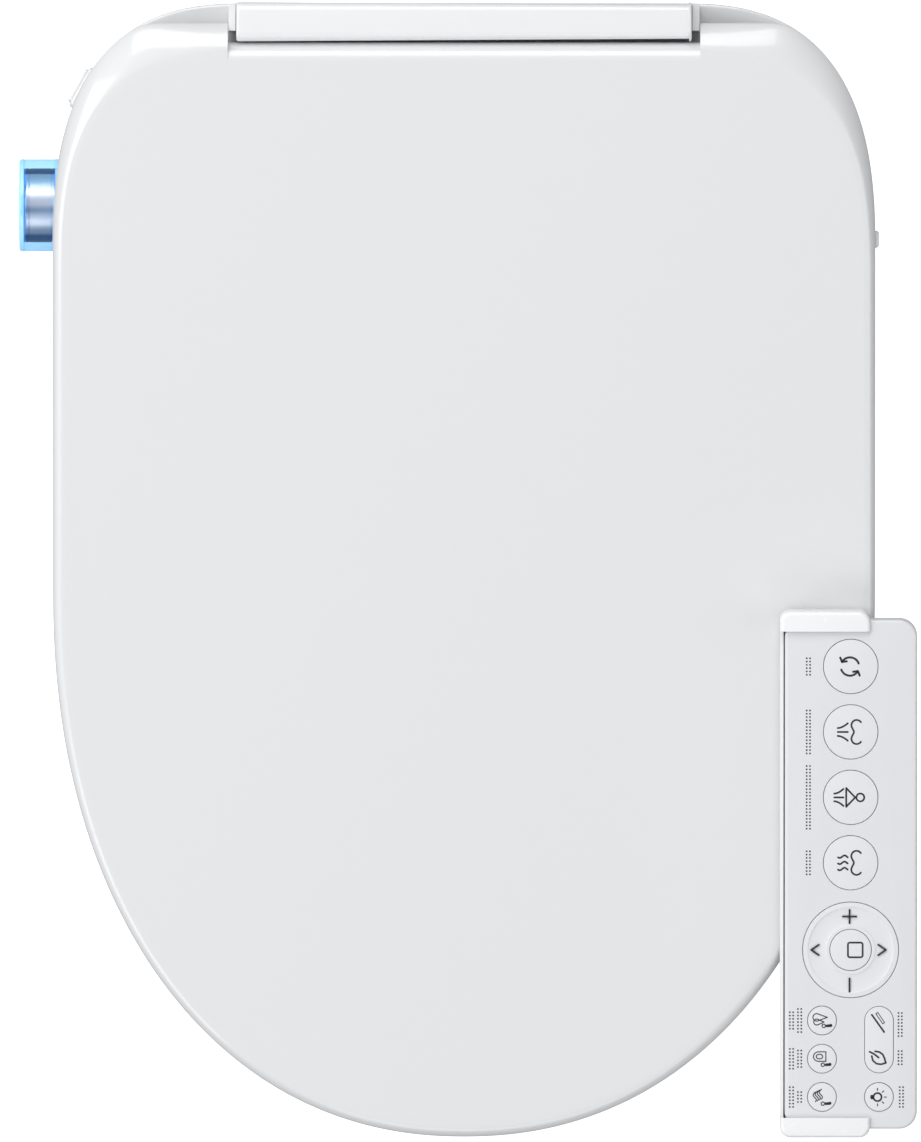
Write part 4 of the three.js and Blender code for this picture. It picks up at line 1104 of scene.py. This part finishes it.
def make_buttons():
    for name, u, v, radius in round_buttons:
        cap = disc(radius - 0.28 * MM, FLANGE_LOW_W, CAP_TOP_W, (u, v), CAP_EDGE)
        join(cap, disc(radius + 0.7 * MM, FLANGE_LOW_W, FLANGE_HIGH_W, (u, v)))
        onto_lid(cap)
        finish_piece(cap, name + "_cap", button_white, name, [name])
    ring = disc(DPAD_RADIUS - 0.28 * MM, FLANGE_LOW_W, CAP_TOP_W, (BIG_U, DPAD_V), CAP_EDGE)
    join(ring, disc(DPAD_RADIUS + 0.7 * MM, FLANGE_LOW_W, FLANGE_HIGH_W, (BIG_U, DPAD_V)))
    dish_depth = 0.55 * MM
    dish = dish_tool(STOP_RADIUS + 1.5 * MM, DPAD_RADIUS - 2.5 * MM, dish_depth)
    cut(ring, dish, disc(STOP_RADIUS, 0, 0.03, (BIG_U, DPAD_V)))
    onto_lid(ring)
    finish_piece(ring, "direction_ring", button_white, "direction_pad",
                 ["direction_pad"])
    stop = disc(STOP_RADIUS - 0.3 * MM, FLANGE_LOW_W, CAP_TOP_W, (BIG_U, DPAD_V), CAP_EDGE)
    onto_lid(stop)
    finish_piece(stop, "stop_cap", button_white, "stop_button",
                 ["stop_button"])
    pill = soft_slab("pill", SMALL_RADIUS - 0.28 * MM, PILL_HALF_V - 0.28 * MM,
                     SMALL_RADIUS - 0.29 * MM, FLANGE_LOW_W, CAP_TOP_W,
                     (SMALL_RIGHT_U, PILL_V), CAP_EDGE, 0, 24)
    flange = plan(rounded(SMALL_RADIUS + 0.6 * MM, PILL_HALF_V + 0.6 * MM, SMALL_RADIUS,
                          (SMALL_RIGHT_U, PILL_V), 24), FLANGE_LOW_W, FLANGE_HIGH_W)
    join(pill, flange)
    onto_lid(pill)
    finish_piece(pill, "eco_clean_cap", button_white, "eco_clean_button",
                 ["eco_clean_button"])


def dish_tool(inner, outer, depth):
    """A ring that hollows the direction pad slightly between two radii."""
    rings = []
    sides = 160
    middle = (inner + outer) / 2
    half = (outer - inner) / 2
    profile = [(middle - half * math.cos(math.pi * k / 16),
                CAP_TOP_W - depth * math.sin(math.pi * k / 16)) for k in range(17)]
    profile += [(outer, CAP_TOP_W + MM), (inner, CAP_TOP_W + MM)]
    vertices = []
    faces = []
    count = len(profile)
    for k in range(sides):
        turn = 2 * math.pi * k / sides
        for r, w in profile:
            vertices.append((BIG_U + r * math.cos(turn), DPAD_V + r * math.sin(turn), w))
    for k in range(sides):
        n = (k + 1) % sides
        for p in range(count):
            q = (p + 1) % count
            faces.append((k * count + p, n * count + p, n * count + q, k * count + q))
    return new_object("tool", vertices, faces)


make_buttons()


# ---- icons -----------------------------------------------------------------------------
# Thin raised print, in millimetres from each button's centre: first u, then v.
icon_ink = moulded("icon_ink", (0.022, 0.023, 0.027), 0.5, grain=2500, grain_strength=0.2,
                   variation=0.1)
PRINT_HEIGHT = 0.05 * MM
INK = 0.85
FINE = 0.5


class Print:
    """Collects strokes and dots, and makes one thin raised mesh of them."""

    def __init__(self, u, v, surface=CAP_TOP_W):
        self.centre = (u, v)
        self.surface = surface
        self.vertices = []
        self.faces = []

    def band(self, left, right, closed):
        """A thin raised band between two edges of equal length."""
        start = len(self.vertices)
        count = len(left)
        edges = left + right
        for w in (self.surface - 0.02 * MM, self.surface + PRINT_HEIGHT):
            self.vertices += [(self.centre[0] + x * MM, self.centre[1] + y * MM, w)
                              for x, y in edges]
        layer = 2 * count
        for k in range(count if closed else count - 1):
            n = (k + 1) % count
            self.faces += [
                (start + k, start + n, start + count + n, start + count + k),
                (start + layer + count + k, start + layer + count + n,
                 start + layer + n, start + layer + k),
                (start + n, start + k, start + layer + k, start + layer + n),
                (start + count + k, start + count + n,
                 start + layer + count + n, start + layer + count + k),
            ]
        if not closed:
            first = (start, start + count, start + layer + count, start + layer)
            last = [start + count - 1 + i for i in (0, layer, layer + count, count)]
            self.faces += [first, tuple(last)]

    def line(self, points, width=INK, closed=False):
        count = len(points)
        left, right = [], []
        for k in range(count):
            before = points[k - 1] if closed or k else points[0]
            after = points[(k + 1) % count] if closed or k + 1 < count else points[k]
            dx, dy = after[0] - before[0], after[1] - before[1]
            length = math.hypot(dx, dy)
            nx, ny = -dy / length * width / 2, dx / length * width / 2
            left.append((points[k][0] + nx, points[k][1] + ny))
            right.append((points[k][0] - nx, points[k][1] - ny))
        self.band(left, right, closed)
        if not closed:
            self.dot(*points[0], width / 2)
            self.dot(*points[-1], width / 2)

    def bend(self, points, width=INK, closed=False):
        """A polyline whose corners stay sharp: one straight stroke for each side."""
        pairs = list(zip(points, points[1:] + points[:1]))
        for start, end in pairs if closed else pairs[:-1]:
            self.line([start, end], width)

    def dot(self, x, y, radius):
        turns = [2 * math.pi * k / 16 for k in range(16)]
        outer = [(x + radius * math.cos(a), y + radius * math.sin(a)) for a in turns]
        inner = [(x + radius * 0.02 * math.cos(a), y + radius * 0.02 * math.sin(a))
                 for a in turns]
        self.band(outer, inner, True)

    def arc(self, x, y, radii, width=INK, start=0, end=360):
        steps = 30
        closed = end - start >= 360
        turns = [math.radians(start + (end - start) * k / steps)
                 for k in range(steps if closed else steps + 1)]
        self.line([(x + radii[0] * math.cos(a), y + radii[1] * math.sin(a)) for a in turns],
                  width, closed)

    def make(self, name, body):
        obj = onto_lid(new_object(name, self.vertices, self.faces))
        return finish_piece(obj, name, icon_ink, body)


def seated_curve(icon):
    """Two lobes that meet in a point."""
    points = []
    for k in range(17):
        a = math.radians(35 + 170 * k / 16)
        points.append((2.75 + 2.45 * math.cos(a), 3.2 + 2.45 * math.sin(a)))
    points.append((1.5, 0.25))
    points += [(x, -y) for x, y in reversed(points)]
    icon.line(points)


def spray(icon, start, end, spread):
    """Three jets that fan out from start towards end."""
    icon.line([(start, 0), (end, 0)])
    for side in (-1, 1):
        icon.line([(start + (end - start) * k / 8,
                    side * (spread * 0.45 + spread * 0.55 * (k / 8) ** 1.8))
                   for k in range(9)])


def waves(icon, low_x, high_x, rows, swing, width=INK):
    for y in rows:
        icon.line([(low_x + (high_x - low_x) * k / 16,
                    y - swing * math.sin(2 * math.pi * k / 16 + 0.5)) for k in range(17)],
                  width)


def thermometer(icon, x, y):
    icon.arc(x, y, (0.8, 0.8), 0.5)
    icon.line([(x + 1.5, y), (x + 3.1, y + 0.1)], 1.3)
    icon.dot(x + 3.3, y + 0.2, 0.75)


def drop(icon, x, y, radius, reach, width):
    """A water drop that points to +u."""
    points = [(x + radius * math.cos(math.radians(a)), y + radius * math.sin(math.radians(a)))
              for a in range(60, 301, 12)]
    points.append((x + reach, y))
    icon.bend([points[-1], points[0]], width)
    icon.bend([points[-1], points[-2]], width)
    icon.line(points[:-1], width)


def make_icons():
    where = {name: (u, v) for name, u, v, radius in round_buttons}
    icon = Print(*where["auto_button"])
    for start in (20, 200):
        icon.arc(-0.4, 0, (4.3, 4.3), 1.0, start, start + 130)
        tip = math.radians(start + 130)
        x, y = -0.4 + 4.3 * math.cos(tip), 4.3 * math.sin(tip)
        for turn in (-52, 52):
            back = tip + math.radians(-90 + turn)
            icon.line([(x, y), (x + 2.2 * math.cos(back), y + 2.2 * math.sin(back))], 1.0)
    icon.make("auto_icon", "auto_button")
    icon = Print(*where["rear_wash_button"])
    seated_curve(icon)
    spray(icon, -6.1, -1.4, 4.1)
    icon.make("rear_wash_icon", "rear_wash_button")
    icon = Print(*where["front_wash_button"])
    icon.arc(4.5, 0, (1.85, 1.85))
    icon.bend([(2.1, 0), (-2.1, 4.4), (-2.1, -4.4)], INK, True)
    spray(icon, -7.7, -3.4, 4.0)
    icon.make("front_wash_icon", "front_wash_button")
    icon = Print(*where["dryer_button"])
    seated_curve(icon)
    waves(icon, -5.9, -1.4, (-2.9, 0, 2.9), 0.6)
    icon.make("dryer_icon", "dryer_button")
    icon = Print(*where["water_heat_button"])
    drop(icon, -2.5, 1.5, 1.75, 5.0, FINE)
    drop(icon, -2.5, -0.7, 1.4, 3.4, FINE)
    thermometer(icon, 0.8, -2.5)
    icon.make("water_heat_icon", "water_heat_button")
    icon = Print(*where["seat_heat_button"])
    icon.bend([(-1.5, 3.3), (1.8, 3.3), (1.8, -1.2), (-1.5, -1.2)], FINE)
    icon.arc(-1.5, 1.05, (2.5, 2.25), FINE, 90, 270)
    icon.arc(-1.2, 1.05, (1.5, 1.1), FINE)
    thermometer(icon, 0.4, -2.8)
    icon.make("seat_heat_icon", "seat_heat_button")
    icon = Print(*where["air_heat_button"])
    for k in range(4):
        shift = k * 0.95
        icon.line([(-3.4 + shift + 0.75 * math.sin(2 * math.pi * n / 16 + 0.4),
                    -2.2 + shift * 0.45 + 4.6 * n / 16) for n in range(17)], FINE)
    thermometer(icon, 0.4, -3.1)
    icon.make("air_heat_icon", "air_heat_button")
    icon = Print(*where["light_button"])
    icon.arc(-0.7, 0, (1.9, 1.9))
    icon.line([(-3.3, -0.35), (-3.3, 0.35)], 1.5)
    for turn in range(-90, 91, 45):
        a = math.radians(turn)
        icon.line([(-0.7 + r * math.cos(a), r * math.sin(a)) for r in (3.2, 4.1)], FINE)
    icon.make("light_icon", "light_button")
    icon = Print(SMALL_RIGHT_U, PILL_V)
    icon.line([(-3.4, 11.7), (2.4, 3.6)])
    icon.bend([(-1.5, 12.2), (-0.6, 12.8), (2.6, 8.0), (1.7, 7.5)], 0.4, True)
    leaf = [(3.2, -10.9), (2.5, -8.6), (1.7, -6.9), (0.2, -5.8), (-1.8, -5.5)]
    icon.line(leaf)
    lower = [(3.2, -10.9), (1.0, -11.6), (-1.2, -11.3), (-2.9, -9.8), (-3.4, -7.7)]
    icon.line(lower)
    icon.line([(-4.4, -5.7), (-2.2, -6.8), (-0.2, -8.4)])
    icon.make("eco_clean_icon", "eco_clean_button")
    icon = Print(BIG_U, DPAD_V)
    for points in ([(-3.6, 15.7), (2.6, 15.7)], [(-0.5, 12.6), (-0.5, 18.8)],
                   [(-0.5, -19.6), (-0.5, -13.4)]):
        icon.line(points)
    icon.bend([(-14.9, 2.45), (-18.4, 0), (-14.9, -2.45)])
    icon.bend([(13.0, 2.45), (16.5, 0), (13.0, -2.45)])
    icon.make("direction_marks", "direction_pad")
    icon = Print(BIG_U, DPAD_V)
    corners = rounded(3.45, 3.45, 0.95, (2.2, 0), 5)
    icon.line(corners, INK, True)
    icon.make("stop_icon", "stop_button")


make_icons()


# ---- rows of dots on the remote's face, where word labels would be ----------------------
LABEL_PITCH = 1.55
LABEL_DOT = 0.42


def make_label_dots():
    marks = Print(0, 0, FACE_W)
    small_v = [SMALL_TOP_V / MM - k * SMALL_PITCH / MM for k in range(3)]
    big_v = [(BIG_TOP_V - k * BIG_PITCH) / MM for k in range(4)]
    rows = [(-18.9, v, length) for v, length in zip(big_v, (10.5, 23, 32, 13))]
    for v, first, second in zip(small_v, (13.3, 9.5, 6.7), (10.5, 10.9, 10.9)):
        rows += [(-22.9, v, first), (-26.7, v, second)]
    rows += [(24.2, PILL_V / MM + 7.1, 12.5), (24.2, PILL_V / MM - 8.5, 8.1),
             (24.8, small_v[2], 10.9)]
    for u, v, length in rows:
        count = int(length / LABEL_PITCH)
        for k in range(count):
            place = v + (k - (count - 1) / 2) * LABEL_PITCH
            for side in (-1, 1):
                marks.dot(u + side * LABEL_PITCH / 2, place, LABEL_DOT)
    marks.make("label_dots", "remote")


make_label_dots()


# ---- parts shown as the frame has them -------------------------------------------------
circuit_green = moulded("circuit_green", (0.02, 0.11, 0.05), 0.35, coat=0.4, grain=700,
                        grain_strength=0.3, variation=0.15)
frosted = moulded("frosted", (0.80, 0.82, 0.84), 0.5, grain=900, grain_strength=0.2)
cell_wrap = moulded("cell_wrap", (0.03, 0.07, 0.16), 0.25, coat=0.5, grain=900,
                    grain_strength=0.05, variation=0.05)
heater_film = moulded("heater_film", (0.55, 0.30, 0.16), 0.35, grain=500,
                      grain_strength=0.25, variation=0.08)
filter_foam = moulded("filter_foam", (0.05, 0.05, 0.055), 0.85, grain=2600,
                      grain_strength=0.7, variation=0.25)
kept_nodes = [
    (satin_white, "mounting_plate", "lid_liner", "cradle_pad", "nozzle_cradle", "dryer_flap",
     "nozzle_hood"),
    (mid_grey, "dryer_duct", "dryer_fan_housing", "diverter_valve", "cord_gland",
     "water_heater", "dryer_fan_wheel"),
    (dark_texture, "power_supply", "solenoid_valve", "knob_shaft"),
    (filter_foam, "deodoriser_filter"),
    (soft_rubber, "lid_bumper_left", "lid_bumper_right"),
    (pin_steel, "damper_pin_left", "damper_pin_right"),
    (brushed, "rear_nozzle", "front_nozzle", "rear_nozzle_motor", "front_nozzle_motor"),
    (turned_brass, "water_inlet"),
    (circuit_green, "control_board", "remote_board"),
    (frosted, "night_light_lens"),
    (cell_wrap, "battery_upper", "battery_lower"),
    (heater_film, "seat_heater"),
]
for material, *names in kept_nodes:
    for name in names:
        nodes[name].data.materials.clear()
        nodes[name].data.materials.append(material)
        nodes[name].data.shade_smooth()
        nodes[name].data.set_sharp_from_angle(angle=math.radians(32))


# ---- floor, lights and camera ----------------------------------------------------------
VIEW_CENTRE = (-1.64 * MM, REAR_Y - 266.3 * MM)
VIEW_PLANE_Z = 75 * MM
VIEW_HEIGHT = 535 * MM
VIEW_DISTANCE = 20.0
SENSOR = 36.0
LIGHT_TARGET = (0.0, -0.2, 0.06)
LIGHT_DISTANCE = 4.4
LIGHT_RISE = math.radians(38)


def make_floor():
    mesh = bpy.data.meshes.new("floor")
    reach = 60.0
    mesh.from_pydata([(-reach, -reach, 0), (reach, -reach, 0), (reach, reach, 0),
                      (-reach, reach, 0)], [], [(0, 1, 2, 3)])
    floor = bpy.data.objects.new("floor", mesh)
    bpy.context.scene.collection.objects.link(floor)
    floor.location.z = casing_low[2] - 3 * MM
    material, tree, node = shader("floor_white", (0.92, 0.92, 0.92), 0.9)
    mottle(tree, node, (0.92, 0.92, 0.92), 3, 0.01)
    node.inputs["Emission Color"].default_value = (1, 1, 1, 1)
    node.inputs["Emission Strength"].default_value = 0.75
    mesh.materials.append(material)
    floor.visible_diffuse = False
    floor.visible_glossy = False


def area_light(name, place, target, size, power, colour=(1, 1, 1)):
    lamp = bpy.data.lights.new(name, "AREA")
    lamp.shape = "RECTANGLE"
    lamp.size, lamp.size_y = size
    lamp.energy = power
    lamp.color = colour
    obj = bpy.data.objects.new(name, lamp)
    bpy.context.scene.collection.objects.link(obj)
    obj.location = place
    aim = Vector(target) - Vector(place)
    obj.rotation_euler = aim.to_track_quat("-Z", "Y").to_euler()
    return obj


def make_lights():
    """Five wide softboxes round the object at the same height, brightest on the left."""
    for name, turn, size, power in (("key", 165, (2.6, 3.2), 85), ("rear", 100, (3.2, 2.2), 86),
                                    ("fill", -6, (2.4, 3.2), 38), ("front", -84, (3.2, 2.0), 32),
                                    ("side", -142, (2.2, 1.6), 38)):
        angle = math.radians(turn)
        reach = LIGHT_DISTANCE * math.cos(LIGHT_RISE)
        place = (LIGHT_TARGET[0] + reach * math.cos(angle),
                 LIGHT_TARGET[1] + reach * math.sin(angle),
                 LIGHT_TARGET[2] + LIGHT_DISTANCE * math.sin(LIGHT_RISE))
        area_light(name, place, LIGHT_TARGET, size, power)
    world = bpy.data.worlds.new("studio")
    bpy.context.scene.world = world
    world.use_nodes = True
    sky = world.node_tree.nodes["Background"]
    sky.inputs["Color"].default_value = (0.97, 0.98, 1.0, 1)
    sky.inputs["Strength"].default_value = 0.335


def make_camera():
    lens = bpy.data.cameras.new("camera")
    camera = bpy.data.objects.new("camera", lens)
    bpy.context.scene.collection.objects.link(camera)
    camera.location = (VIEW_CENTRE[0], VIEW_CENTRE[1], VIEW_PLANE_Z + VIEW_DISTANCE)
    lens.sensor_width = SENSOR
    lens.lens = SENSOR * VIEW_DISTANCE / VIEW_HEIGHT
    lens.clip_end = 40
    bpy.context.scene.camera = camera
    bpy.context.scene.view_settings.view_transform = "Standard"


make_floor()
make_lights()
make_camera()
